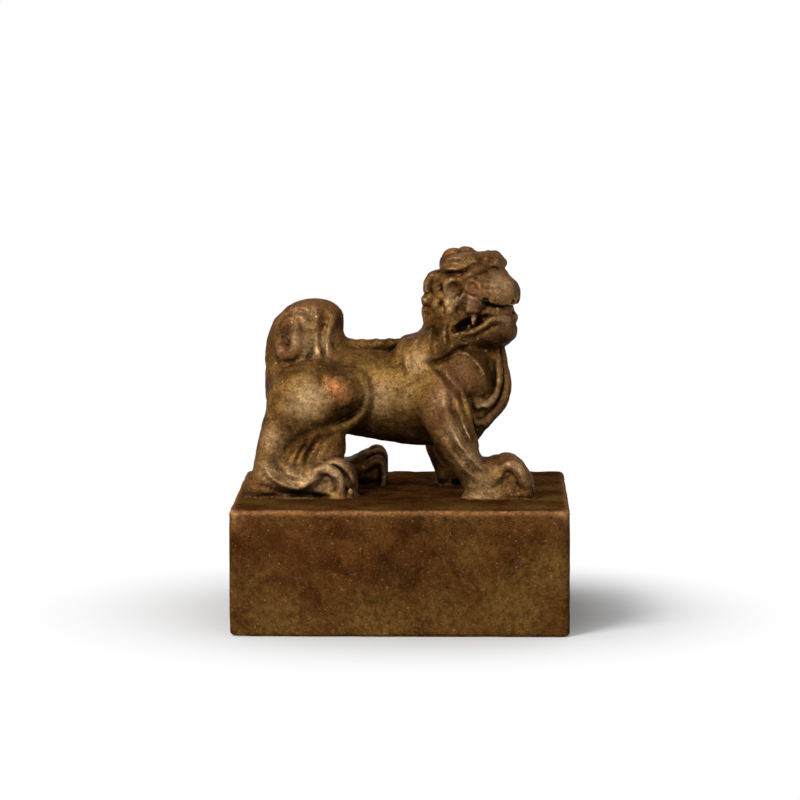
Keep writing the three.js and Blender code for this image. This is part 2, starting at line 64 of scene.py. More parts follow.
# The nearest point of a chain of straight pieces: the distance to it, and its place counted in pieces.
def nearestOn(line, p):
    columns = [np.ascontiguousarray(p[:, n]) for n in range(p.shape[1])]
    best = np.full(len(p), 1e9)
    place = np.zeros(len(p))
    for i in range(len(line) - 1):
        start, step = line[i], line[i + 1] - line[i]
        away = [c - s for c, s in zip(columns, start)]
        t = sum(a * s for a, s in zip(away, step)) / max((step**2).sum(), 1e-9)
        t = np.minimum(np.maximum(t, 0), 1)
        gap = sum((a - t * s) ** 2 for a, s in zip(away, step))
        nearer = gap < best
        best = np.where(nearer, gap, best)
        place = np.where(nearer, i + t, place)
    return np.sqrt(best), place


def along(values, place):
    i = np.minimum(place.astype(int), len(values) - 2)
    t = place - i
    if values.ndim > 1:
        t = t[:, None]
    return values[i] * (1 - t) + values[i + 1] * t


def unit(v):
    return v / np.maximum(np.linalg.norm(v, axis=-1, keepdims=True), 1e-9)


# Distance to an oval with half sizes s. With q the length of the point over s, and r that of the point
# over s squared, the distance is q (q - 1) / r.
def ovalDistance(parts, sizes):
    q = sum((v / s) ** 2 for v, s in zip(parts, sizes)) ** 0.5
    r = sum((v / s**2) ** 2 for v, s in zip(parts, sizes)) ** 0.5 + 1e-6
    return q * (q - 1) / r


# A limb: rows of x, y, z, half size sideways, half size across that. Its ends are domes.
def limb(rows, cap=0.8, per=5):
    path = smoothPath(rows, per)
    line, wide, tall = path[:, :3], path[:, 3], path[:, 4]
    forward = unit(np.gradient(line, axis=0))
    side = np.array((0.0, 1.0, 0.0))
    across = unit(side - forward * (forward @ side)[:, None])
    up = np.cross(forward, across)

    def distance(p):
        place = nearestOn(line, p)[1]
        gap = p - along(line, place)
        w, t = along(wide, place), along(tall, place)
        parts = [np.einsum("ij,ij->i", gap, along(axis, place)) for axis in (across, up, forward)]
        return ovalDistance(parts, (w, t, cap * np.minimum(w, t)))

    reach = path[:, 3:].max()
    return line.min(0) - reach, line.max(0) + reach, distance


# A rope: rows of x, y, z, radius.
def rope(rows, per=5):
    path = smoothPath(rows, per)

    def distance(p):
        gap, place = nearestOn(path[:, :3], p)
        return gap - along(path[:, 3], place)

    reach = path[:, 3].max()
    return path[:, :3].min(0) - reach, path[:, :3].max(0) + reach, distance


# A blob: an egg at a place, with three half sizes, turned in degrees about z and then about its own y.
def blob(place, sizes, yaw=0, pitch=0):
    place = np.asarray(place, float)
    z, y = np.radians([yaw, pitch])
    turnZ = np.array([[np.cos(z), -np.sin(z), 0], [np.sin(z), np.cos(z), 0], [0, 0, 1]])
    turnY = np.array([[np.cos(y), 0, np.sin(y)], [0, 1, 0], [-np.sin(y), 0, np.cos(y)]])
    turn = turnZ @ turnY

    def distance(p):
        x, y, z = (p - place).T
        return ovalDistance([x * a + y * b + z * c for a, b, c in turn.T], sizes)

    reach = max(sizes)
    return place - reach, place + reach, distance


def inReach(p, low, high, pad):
    return np.flatnonzero(np.all((p > low - pad) & (p < high + pad), axis=1))


# Joining keeps the smaller of two distances, less a quarter of blend times the square of how nearly equal
# they are.
def blendLow(a, b, blend):
    near = np.maximum(blend - np.abs(a - b), 0) / blend
    return np.minimum(a, b) - near**2 * blend / 4


def join(f, p, shape, blend):
    i = inReach(p, shape[0], shape[1], blend + 1.6)
    f[i] = blendLow(f[i], shape[2](p[i]), blend)


def cut(f, p, shape, blend):
    i = inReach(p, shape[0], shape[1], blend + 1.6)
    f[i] = -blendLow(-f[i], shape[2](p[i]), blend)


# A ridge, or a groove where height is below zero: a bell of that height and half width along a line on
# the skin.
def ridge(f, p, rows, height, width):
    path = smoothPath(rows)[:, :3]
    i = inReach(p, path.min(0), path.max(0), 2.6 * width)
    gap, place = nearestOn(path, p[i])
    ends = np.clip(np.minimum(place, len(path) - 1 - place) / 3, 0, 1)
    f[i] -= height * (0.35 + 0.65 * ends) * np.exp(-((gap / width) ** 2))


# The same seen from the side: rows of x and z, on the skin that lies between clear and deep out from the
# middle plane.
def stroke(f, p, rows, height, width, clear, deep=20):
    path = smoothPath(rows)
    flat = p[:, ::2]
    out = np.abs(p[:, 1])
    near = np.all((flat > path.min(0) - 2.6 * width) & (flat < path.max(0) + 2.6 * width), axis=1)
    i = np.flatnonzero(near & (out > clear - 0.5) & (out < deep + 0.5))
    gap, place = nearestOn(path, flat[i])
    ends = np.clip(np.minimum(place, len(path) - 1 - place) / 4, 0, 1)
    inside = np.clip(out[i] - clear + 0.5, 0, 1) * np.clip(deep + 0.5 - out[i], 0, 1)
    f[i] -= height * (0.25 + 0.75 * ends) * inside * np.exp(-((gap / width) ** 2))


# Soft random lumps: a fixed lattice of values read with the smooth step 3t^2 - 2t^3 between its points.
latticeSide = 24
lattice = np.random.default_rng(7).uniform(-1, 1, (latticeSide, latticeSide, latticeSide))


def lumps(p, size, shift):
    q = p / size + shift + 10 * latticeSide
    i = np.floor(q).astype(int)
    t = q - i
    t = t * t * (3 - 2 * t)
    i, j = i % latticeSide, (i + 1) % latticeSide
    total = 0
    for corner in range(8):
        pick = [(corner >> n) & 1 for n in range(3)]
        x, y, z = ((j if pick[n] else i)[:, n] for n in range(3))
        weight = np.prod([t[:, n] if pick[n] else 1 - t[:, n] for n in range(3)], axis=0)
        total = total + lattice[x, y, z] * weight
    return total


# The lion. Each form is a distance, and the forms are joined and cut in the order in which they grow.
trunk = {
    "barrel": [(-15.2, 0, 14.4, 4.1, 4.4), (-11.7, 0, 13.8, 5.3, 5.8), (-7.5, 0, 13.75, 5.1, 6.0),
               (-2.2, 0, 13.25, 5.3, 6.45), (2.7, 0, 13.05, 5.7, 6.9), (6.2, 0, 13.2, 5.4, 6.6),
               (8, 0, 13.1, 4.0, 4.9)],
    "breast": [(9.5, 0, 20.8, 3.9, 4.0), (9.4, 0, 16.1, 4.8, 4.5), (9.4, 0, 13.1, 4.6, 4.3),
               (8.4, 0, 9.3, 3.7, 3.3), (8.0, 0, 6.2, 2.4, 1.8)],
    "neck": [(5.0, 0, 16.4, 4.9, 4.3), (6.4, 0, 19.4, 5.0, 4.4), (7.2, -0.3, 22.0, 4.3, 4.0),
             (7.4, -0.5, 23.8, 3.6, 3.6)],
    "rump": [(-14.6, 0, 12.6), (3.4, 4.6, 5.6)],
}

barrel = limb(trunk["barrel"])
breast = limb(trunk["breast"])
neck = limb(trunk["neck"])
rump = blob(*trunk["rump"])


# The distance that stands where no form is near.
farAway = 4.0


# The right side is drawn, and the left side is its mirror. The feet differ, because the lion is in mid
# stride.
def trunkForm(p):
    q = p.copy()
    q[:, 1] = -np.abs(q[:, 1])
    f = np.full(len(p), farAway)
    join(f, q, barrel, 0.5)
    join(f, q, rump, 1.5)
    join(f, q, breast, 1.2)
    join(f, q, neck, 0.9)
    shoulder = blob((3.57, -4.6, 14.34), (4.3, 2.1, 5.0), pitch=18)
    join(f, q, shoulder, 1.6)
    return q, f


spine = {
    "crest": [(-8.13, 0, 19.91, 0.5), (-6.89, 0, 19.77, 0.75), (-3.74, 0, 19.84, 0.85),
              (-0.31, 0, 19.91, 0.85), (1.88, 0, 20.32, 0.8), (2.97, 0, 21.28, 0.7)],
    "scallops": 9, "tip": 0.62,
}
crest = rope(spine["crest"])


def spineForm(f, q):
    join(f, q, crest, 0.35)
    tips = smoothPath([row[:3] for row in spine["crest"]], 12)
    tips = tips[np.linspace(6, len(tips) - 4, spine["scallops"]).astype(int)]
    for x, y, z in tips:
        join(f, q, blob((x, 0, z + 0.42), (spine["tip"], 0.55, 0.5), pitch=18), 0.25)
    join(f, q, blob((2.3, -0.9, 19.72), (1.9, 1.5, 1.3)), 1.0)
    ridge(f, q, [(-7.83, -0.85, 19.16), (-4.13, -0.95, 19.04), (-0.57, -1, 19.18), (1.62, -1, 19.73)],
          -0.42, 0.42)
    ridge(f, q, [(-7.8, -1.85, 18.98), (-4.1, -1.95, 18.86), (-0.55, -2, 19), (1.63, -2, 19.54)], 0.12,
          0.42)
    stroke(f, q, [(-2.44, 19.36), (-1.63, 18.68), (-1.06, 17.82)], -0.4, 0.6, 1.2)
    stroke(f, q, [(-0.4, 19.77), (-0.12, 18.33), (0.31, 16.54)], -0.42, 0.4, 1.0)
    stroke(f, q, [(0.83, 19.91), (0.98, 18.37), (1.41, 16.44)], -0.24, 0.36, 1.0)
    stroke(f, q, [(0.28, 19.64), (0.5, 18.09), (1, 16.31)], 0.2, 0.4, 1.0)
    stroke(f, q, [(-2.99, 19.09), (-4.06, 18.5), (-5.39, 18.21)], -0.14, 0.7, 1.5)


# Haunch, knee and the raised fold of skin round the knee.
haunch = blob((-13.66, -5.5, 12.81), (4.5, 3.2, 4.8), pitch=-20)
haunchTop = blob((-11.39, -4.4, 15.14), (3.2, 2.4, 2.9))
knee = blob((-7.96, -5.5, 13.76), (3.2, 2.6, 2.9), pitch=12)
thigh = limb([(-9.73, -5.4, 12.52, 2.6, 2.8), (-12.69, -5.9, 10.41, 2.5, 3.2),
              (-15.38, -6.5, 8.3, 2.3, 2.8)])
shank = limb([(-15.93, -6.4, 11, 2.2, 2.5), (-16.85, -6.9, 8.89, 2.1, 2.15),
              (-17.52, -7.2, 6.62, 2.05, 1.95),
              (-17.99, -7.3, 4.6, 2.1, 1.9), (-18.19, -7.3, 2.44, 2.2, 1.9)])
web = limb([(-14.86, -5.9, 8.51, 1.9, 2.6), (-15.11, -6.5, 6.13, 1.9, 2.7), (-15.36, -6.9, 3.47, 2.0, 2.8)])
apron = limb([(-10.42, -4.9, 8.67, 1.7, 2.8), (-10.53, -5.7, 6.04, 1.8, 2.9),
              (-11.86, -6.4, 3.41, 1.8, 2.6)])
fold = rope([(-7.04, -4.5, 16.65, 0.4), (-5.67, -4.75, 15.85, 0.6), (-4.85, -4.85, 14.37, 0.75),
             (-4.85, -4.85, 12.47, 0.8), (-5.73, -4.85, 10.84, 0.8), (-7.43, -5.1, 9.64, 0.75),
             (-8.64, -5.4, 9.13, 0.5)])
hem = rope([(-6.75, -5, 9.97, 0.6), (-7.69, -5.2, 9.51, 0.8), (-9.72, -5.7, 8.82, 0.8),
            (-11.86, -6.3, 8.14, 0.75), (-13.34, -6.8, 6.84, 0.6)])


def hindLegForm(f, q, still, left):
    join(f, q, haunch, 1.6)
    join(f, q, haunchTop, 1.8)
    join(f, q, knee, 1.3)
    join(f, q, thigh, 1.2)
    join(f, q, shank, 0.9)
    # The right leg alone has the full apron of fur behind the knee, with its hem; on the left it stays by
    # the shank.
    nearSide = np.where(left[:, None], q + (3.0, 0, 0), q)
    join(f, nearSide, web, 0.9)
    join(f, np.where(left[:, None], q + (6.5, 0, 0), q), apron, 0.9)
    join(f, still, fold, 1.0)
    right = np.flatnonzero(~left)
    g = f[right]
    join(g, still[right], hem, 1.0)
    f[right] = g
    stroke(f, still, [(-6.57, 16.03), (-5.62, 14.94), (-5.28, 13.59), (-5.55, 12.23),
                  (-6.71, 11.01), (-8.87, 10.08), (-11.7, 9.19), (-13.69, 7.66)], -0.2, 0.7, 3.5)
    stroke(f, still, [(-6.87, 16.73), (-5.38, 15.92), (-4.63, 14.29), (-4.7, 12.39), (-5.65, 10.77),
                  (-7.54, 9.58), (-9.96, 8.76), (-11.97, 8.09), (-13.18, 6.64)], 0.14, 0.6, 3.5)
    stroke(f, still, [(-4.03, 15.49), (-3.62, 13.87), (-3.89, 11.96), (-4.98, 10.32)], -0.2, 0.7, 3.5)
    # The copper boss on the knee and a hollow behind it.
    join(f, q, blob((-8.43, -7.6, 14.51), (1.5, 0.6, 1.8)), 1.2)
    stroke(f, q, [(-10.47, 16.79), (-10.04, 15.23), (-9.9, 13.64), (-10.71, 12.15)], -0.14, 0.8, 5)
    # Strands of fur behind and under the knee, drawn out towards the paw.
    for rows, high, wide in (
        ([(-12.11, 7.82), (-13.05, 6.2), (-13.59, 4.59), (-13.31, 2.99)], 0.17, 0.34),
        ([(-10.89, 7.54), (-11.97, 5.93), (-12.37, 4.45), (-11.96, 3.39)], 0.13, 0.3),
        ([(-9.54, 7.54), (-10.62, 5.93), (-11.15, 4.59)], 0.1, 0.3),
        ([(-13.33, 7.41), (-14.27, 6.07), (-15.08, 4.32), (-14.94, 2.85)], 0.18, 0.4),
        ([(-8.59, 7.54), (-9.26, 6.2), (-9.94, 4.86)], 0.08, 0.3),
        ([(-14.55, 7), (-15.63, 5.53), (-16.3, 3.78)], 0.12, 0.4),
        ([(-12.65, 7.54), (-13.66, 6.07), (-14.27, 4.32), (-14.12, 2.85)], -0.16, 0.26),
        ([(-11.43, 7.41), (-12.51, 5.93), (-13.05, 4.32), (-12.77, 2.99)], -0.14, 0.26),
        ([(-10.21, 7.41), (-11.29, 5.8), (-11.83, 4.32)], -0.12, 0.24),
        ([(-13.87, 7), (-14.95, 5.39), (-15.62, 3.78)], -0.16, 0.28),
        ([(-12.88, 9.01), (-14.23, 7.93), (-15.18, 6.58), (-15.72, 4.95)], -0.2, 0.6),
        ([(-16.58, 7.54), (-17.11, 5.53), (-17.25, 3.51)], -0.1, 0.5)):
        stroke(f, nearSide, rows, high, wide, 5.2)


# A hind paw. Each toe is an arch that rises from the instep and comes down at its tip.
hindFoot = limb([(-19.41, -7.3, 0.95, 2.3, 1.6), (-16.97, -7.4, 1.64, 2.5, 2.1),
                 (-13.99, -7.35, 2.17, 2.6, 2.4),
                 (-10.74, -7.3, 2.3, 2.5, 2.5), (-9.26, -7.2, 1.61, 2.3, 2.3)])
hindHeel = blob((-19.68, -7.3, 1.22), (1.5, 1.9, 2.0), pitch=-15)
hindToes = [
    [(-13.25, -8.9, 2.09, 0.5), (-12.03, -9.2, 3, 0.65), (-10.81, -9.3, 3.76, 0.8),
     (-9.73, -9.3, 3.83, 0.85),
     (-8.78, -9.3, 2.95, 0.85), (-8.31, -9.3, 1.6, 0.85), (-8.18, -9.3, 0.25, 0.8)],
    [(-11.27, -7.7, 3.3, 0.8), (-9.65, -7.7, 4.11, 1.0), (-8.43, -7.7, 4.38, 1.05),
     (-7.55, -7.7, 3.57, 1.0), (-7.15, -7.7, 2.21, 1.0), (-7.01, -7.7, 0.46, 0.95)],
    [(-10.79, -6.1, 3.1, 0.8), (-9.16, -6.1, 3.92, 1.0), (-7.94, -6.1, 3.92, 1.0), (-7.12, -6.1, 2.83, 1.0),
     (-6.85, -6.1, 1.48, 0.95), (-6.85, -6.1, 0.25, 0.9)],
    [(-10.83, -4.9, 2.55, 0.7), (-9.2, -4.9, 3.37, 0.85), (-8.11, -4.9, 3.23, 0.85),
     (-7.43, -4.9, 2.01, 0.85), (-7.3, -4.9, 0.24, 0.8)],
]


hindGap = [(-11.03, 3.35), (-9.26, 4.02), (-7.78, 3.21), (-6.9, 1.72), (-6.62, -0.17)]
foreGap = [(13.62, 4.43), (15.11, 4.43), (16.33, 3.08), (17.14, 1.45), (17.41, -0.17)]


# Grooves run between the toes over the arch of the paw, and a small claw stands at the foot of each toe.
def toeForm(f, q, gap, front):
    for across in (-8.5, -6.9, -5.5):
        ridge(f, q, [(x, across, z) for x, z in gap], -0.45, 0.34)
    for across in (-9.2, -7.7, -6.2, -4.9):
        join(f, q, blob((front, across, 0.65), (0.42, 0.42, 0.7)), 0.35)


def hindPawForm(f, q, left):
    join(f, q, hindHeel, 0.8)
    join(f, q, hindFoot, 0.9)
    for rows in hindToes:
        join(f, q, rope(rows), 0.3)
    toeForm(f, q, hindGap, -6.9)
    # The hollow under the outer toe, shallow on the left paw, with its claw at the foot of it.
    cut(f, np.where(left[:, None], q + (0, -0.75, 0), q),
        blob((-10.1, -10.35, 1.6), (1.75, 1.3, 1.35), pitch=-12), 0.5)
    join(f, q, rope([(-9.6, -9.2, 0.64, 0.4), (-8.78, -9.4, 0.26, 0.45), (-7.97, -9.5, 0.01, 0.25)]), 0.3)
    # Fur that runs off the shank on to the foot, and a thin ledge along the sole.
    stroke(f, q, [(-18.23, 4.03), (-17.27, 2.85), (-15.64, 1.8), (-13.89, 1.39), (-12.55, 1.92),
                  (-11.61, 2.85)], 0.4, 0.46, 6)
    stroke(f, q, [(-19.85, 1.87), (-17.67, 1.38), (-15.64, 0.72), (-12.95, 0.45)], -0.2, 0.4, 6)
    stroke(f, q, [(-16.89, 4.8), (-16.2, 3.49), (-14.98, 2.49), (-13.37, 2.42)], -0.32, 0.42, 6)
    stroke(f, q, [(-17.42, 6.85), (-17.14, 5.12), (-16.2, 3.77)], 0.14, 0.5, 6)
    join(f, q, blob((-15.28, -8.75, 3.96), (0.6, 0.45, 0.65)), 0.5)
    join(f, q, blob((-19.61, -8.6, 0.43), (0.8, 0.6, 0.5)), 0.5)
    join(f, q, rope([(-20.43, -8.4, -0.27, 0.3), (-16.34, -9.3, -0.22, 0.34), (-12.01, -9.5, -0.2, 0.3)]),
         0.5)
    stroke(f, q, [(-13.93, 3.56), (-12.57, 3.18), (-11.35, 3.87)], -0.16, 0.35, 6)
    stroke(f, q, [(-11.07, 2.45), (-10.12, 2.99), (-9.31, 2.45), (-9.04, 1.23)], -0.14, 0.34, 6)


foreleg = limb([(4.94, -5.6, 13.9, 2.0, 3.6), (5.9, -6.6, 11.29, 2.3, 3.3), (7.05, -7.1, 8.37, 2.4, 2.9),
                (8.68, -7.3, 5.28, 2.4, 2.4), (10.1, -7.3, 2.71, 2.4, 2.15), (11.18, -7.3, 0.81, 2.3, 2.0)])
upperArm = limb([(4.8, -4.6, 16.52, 1.2, 1.6), (5.35, -6.1, 14.5, 1.5, 1.9), (5.63, -7.1, 12.43, 1.7, 2.0),
                 (6.18, -7.45, 10.03, 1.6, 1.9)])
tuft = limb([(7.11, -5.6, 14.58, 0.6, 0.4), (7.93, -6.6, 13.06, 0.9, 0.9), (8.54, -7, 11.47, 1.0, 1.0),
             (8.81, -7.2, 10.27, 0.8, 0.75), (9.02, -7.2, 9.19, 0.55, 0.45)])


def foreLegForm(f, q):
    join(f, q, foreleg, 1.2)
    join(f, q, upperArm, 1.4)
    join(f, q, tuft, 0.5)
    # Long ridges of fur flow from the tuft down the front of the leg.
    for rows, high, wide in (
        ([(8.21, 10.09), (9.16, 8.2), (10.37, 6.44), (11.85, 4.96), (13.07, 4.29)], 0.42, 0.34),
        ([(6.46, 10.49), (7.54, 8.06), (8.89, 6.17), (10.64, 4.42), (12.12, 3.34)], 0.46, 0.46),
        ([(6.59, 6.98), (8.08, 4.96), (9.56, 3.34), (11.04, 2.26)], 0.24, 0.5),
        ([(7.27, 11.55), (8.21, 9.26), (9.56, 7.16), (11.04, 5.48), (12.66, 4.13)], -0.5, 0.34),
        ([(9.02, 9.39), (9.7, 7.77), (10.77, 6.15), (12.12, 5.07)], -0.34, 0.32),
        ([(6.19, 8.58), (7.13, 6.56), (8.62, 4.67), (10.37, 3.05)], -0.36, 0.36),
        ([(4.43, 14.79), (4.5, 12.9), (4.97, 10.47), (5.78, 8.58)], -0.3, 0.8),
        ([(6.73, 14.25), (6.93, 12.09), (7.54, 10.07)], -0.42, 0.38),
        ([(5.78, 15.33), (5.92, 12.9), (6.32, 10.74)], 0.24, 0.7),
        ([(7.33, 14.55), (7.67, 12.94), (8.14, 11.32), (8.61, 9.83)], 0.14, 0.36),
        ([(7.8, 14.28), (8.21, 12.67), (8.75, 11.18), (9.15, 9.83)], -0.16, 0.24),
        ([(8.34, 14.01), (8.88, 12.4), (9.29, 10.91)], 0.12, 0.34),
        ([(9.02, 13.61), (9.63, 11.99), (10.03, 10.37)], -0.34, 0.45)):
        stroke(f, q, rows, high, wide, 4.5)


forePaw = limb([(9.96, -7.3, 1.35, 2.3, 1.6), (11.72, -7.3, 2.44, 2.5, 2.6), (13.48, -7.25, 3.11, 2.5, 2.7),
                (14.7, -7.2, 2.42, 2.3, 2.3)])
foreToes = [
    [(12.53, -8.9, 2.63, 0.5), (13.34, -9.2, 3.75, 0.6), (14.42, -9.3, 4.43, 0.75),
     (15.36, -9.3, 4.16, 0.8),
     (16.17, -9.3, 3.08, 0.8), (16.71, -9.3, 1.87, 0.8), (16.98, -9.3, 0.66, 0.7)],
    [(12.94, -7.7, 4.11, 0.7), (13.75, -7.7, 4.99, 1.0), (14.97, -7.7, 4.85, 1.0), (16.05, -7.7, 3.7, 1.0),
     (16.86, -7.7, 2.35, 0.95), (17.13, -7.7, 0.73, 0.9)],
    [(12.95, -6.1, 3.92, 0.7), (13.9, -6.1, 4.59, 0.95), (14.98, -6.1, 4.46, 0.95),
     (15.93, -6.1, 3.37, 0.95), (16.61, -6.1, 2.02, 0.9), (16.88, -6.1, 0.53, 0.85)],
    [(12.95, -4.9, 2.96, 0.6), (13.91, -4.9, 3.77, 0.8), (14.86, -4.9, 3.5, 0.85),
     (15.67, -4.9, 2.28, 0.85), (16.08, -4.9, 0.51, 0.75)],
]


def forePawForm(f, q, left):
    join(f, q, forePaw, 0.8)
    for rows in foreToes:
        join(f, q, rope(rows), 0.3)
    toeForm(f, q, foreGap, 17.1)
    # The flank of the paw is cut back roughly under the outer toe, and small claws stand at its foot.
    cut(f, np.where(left[:, None], q + (0, -0.6, 0), q),
        blob((14.27, -10.8, 2.32), (2.0, 1.35, 1.4), pitch=-20), 0.5)
    stroke(f, q, [(12.12, 1.49), (13.2, 2.86), (13.87, 3.66)], 0.2, 0.35, 6)
    stroke(f, q, [(13.34, 1.22), (14.14, 2.19), (14.95, 2.58)], 0.16, 0.35, 6)
    join(f, q, blob((14.29, -8.5, 0.69), (2.7, 1.35, 1.1)), 0.7)
    for claw in ((15.09, -9.6, 0.42), (15.9, -9.7, 0.57), (16.71, -9.6, 0.56)):
        join(f, q, blob(claw, (0.38, 0.5, 0.42)), 0.4)
    join(f, q, rope([(8.75, -8.6, 0.16, 0.5), (10.91, -9, 0.21, 0.7), (13.34, -9.1, 0.23, 0.6)]), 0.9)


# Smooth breast, with ribbons of beard that curve down its edge and hook back.
def breastForm(f, q):
    join(f, q, blob((7.92, -3.4, 16.54), (3.4, 2.0, 3.4), yaw=-18, pitch=20), 1.2)
    stroke(f, q, [(3.58, 18.11), (5.22, 16.92), (6.57, 15.3), (7.66, 14.08), (8.88, 12.27)],
           -0.34, 0.45, 2.5)
    stroke(f, q, [(3.58, 17.57), (4.94, 16.37), (6.17, 14.76), (7.12, 13.54)], 0.14, 0.5, 2.5)
    stroke(f, q, [(7.92, 19.44), (9.01, 19.08), (10.1, 18.03), (11.05, 16.69),
                  (11.6, 15.29)], 0.26, 0.34, 2)
    stroke(f, q, [(9.28, 18.15), (10.24, 17.02), (10.92, 15.62)], -0.14, 0.4, 2)
    stroke(f, q, [(11.6, 17.24), (12.14, 15.86), (12.21, 14.2)], -0.2, 0.5, 1.5)
    cut(f, q, blob((12.28, -4.3, 16.63), (0.85, 1.7, 2.2), pitch=-12), 0.9)
    for rows in (
        [(12.83, -2.6, 19.87, 0.3), (13.03, -2.7, 18.24, 0.5), (13.17, -2.8, 16.34, 0.62),
         (12.96, -3, 14.45, 0.68), (12.28, -3.4, 13, 0.72), (11.33, -3.8, 12.08, 0.76),
         (10.37, -4.1, 12.05, 0.62), (9.9, -4.2, 12.67, 0.4)],
        [(13.38, -1.8, 20.07, 0.4), (13.65, -1.7, 18.15, 0.6), (13.86, -1.8, 16.25, 0.65),
         (13.86, -1.9, 14.21, 0.7), (13.17, -2.2, 12.33, 0.74), (12.01, -2.7, 10.74, 0.76),
         (10.99, -3.3, 9.85, 0.74), (10.1, -3.7, 9.83, 0.6), (9.69, -3.8, 10.45, 0.36)],
        [(13.38, -0.7, 19.97, 0.5), (13.45, -0.6, 17.77, 0.75), (13.93, -0.6, 15.03, 0.95),
         (13.73, -0.7, 12.72, 0.9), (12.7, -0.9, 11.1, 0.9), (11.33, -1.2, 9.62, 0.85),
         (10.3, -1.6, 8.3, 0.7), (9.69, -1.8, 7.37, 0.5)]):
        join(f, q, rope(rows), 0.3)
    stroke(f, q, [(13.44, 17.75), (13.58, 15.57), (13.23, 13.54), (12.35, 12.02),
                  (11.19, 11.04), (10.24, 11.01)], -0.12, 0.26, 1.6)
    stroke(f, q, [(12.42, 17.51), (12.55, 15.6), (12.14, 13.99), (11.19, 13.15),
                  (10.24, 13.26)], -0.2, 0.4, 1.6)
    cut(f, q, blob((10.98, -4.8, 11.24), (0.75, 1.1, 0.5), pitch=-20), 0.35)
    stroke(f, q, [(11.87, 13.9), (11.05, 13.12), (9.83, 12.88)], -0.2, 0.4, 2)
    stroke(f, q, [(10.1, 11.67), (9.01, 12.37), (8.33, 13.34)], 0.14, 0.4, 2)


# The mane lies over the breast with a hanging edge, in strands that come down from behind the jaw.
def maneForm(f, q):
    join(f, q,
         limb([(1.09, -2.2, 19.02, 1.3, 1.7), (2.74, -3.3, 19.53, 1.4, 1.9), (4.38, -3.8, 19.98, 1.5, 2.1),
               (5.88, -3.9, 20.4, 1.5, 2.1), (7.38, -3.7, 21.06, 1.4, 1.9),
               (8.74, -3.2, 21.83, 1.2, 1.5)]), 1.5)
    join(f, q,
         limb([(0.28, -2.6, 19.05, 1.2, 1.6), (2.2, -3.6, 18.33, 1.4, 1.9), (3.84, -4.4, 17.32, 1.4, 1.9)]),
         1.6)
    stroke(f, q, [(3.45, 18.02), (4.94, 18.11), (6.3, 18.72), (7.66, 19.58),
                  (9.01, 20.07)], -0.5, 0.42, 2)
    stroke(f, q, [(4.87, 22.83), (4.87, 21.88), (4.87, 20.81)], -0.4, 0.3, 2)
    for rows, high, wide in (
        ([(3.71, 24.85), (3.44, 22.54), (2.49, 20.5)], 0.2, 0.6),
        ([(5.75, 23.62), (5.75, 21.72), (6.02, 19.55)], 0.26, 0.55),
        ([(4.12, 24.17), (3.99, 21.72), (3.44, 19.28)], 0.18, 0.5),
        ([(7.38, 20.91), (6.84, 19.96), (6.02, 19.14)], 0.14, 0.5),
        ([(5.34, 24.44), (5.21, 22.27), (5.34, 19.55)], -0.18, 0.34),
        ([(6.43, 23.9), (6.3, 21.99), (6.7, 19.96)], -0.2, 0.32),
        ([(4.39, 24.17), (4.39, 21.99), (4.12, 19.28)], -0.16, 0.3),
        ([(3.31, 23.62), (2.9, 21.72), (1.95, 20.09)], -0.14, 0.34)):
        stroke(f, q, rows, high, wide, 1.5)


# The tail stands up as a plume. On each face an inner strand runs down and rolls back into a bulb.
plume = limb([(-12.92, 0, 12.78, 2.2, 3.6), (-13.2, 0, 15.52, 2.7, 4.9), (-13.33, 0, 18.26, 2.9, 5.4),
              (-13.13, 0, 20.46, 2.9, 5.2), (-12.92, 0, 21.83, 2.8, 4.9)], per=6)
plumeTop = blob((-12.58, 0, 22.85), (4.7, 2.6, 3.35), pitch=-12)
tailRoll = rope([(-15.35, -1, 23.69, 0.8), (-14.71, -1.5, 22.64, 1.0), (-14.36, -1.7, 21.43, 1.1),
                 (-14.22, -1.85, 20.21, 1.15), (-14.55, -2, 19.13, 1.2), (-15.37, -2.1, 18.67, 1.25),
                 (-16.05, -2.1, 19.01, 1.25)])
tailStrand = rope([(-14.8, -1, 24.17, 0.5), (-13.68, -1.5, 23.74, 0.85), (-12.92, -1.8, 22.53, 0.95),
                   (-12.71, -1.9, 20.9, 0.95), (-12.98, -1.9, 19.26, 0.95), (-13.94, -1.9, 18.03, 0.9),
                   (-15.3, -2, 17.63, 0.75), (-16.39, -2.1, 17.98, 0.5)])


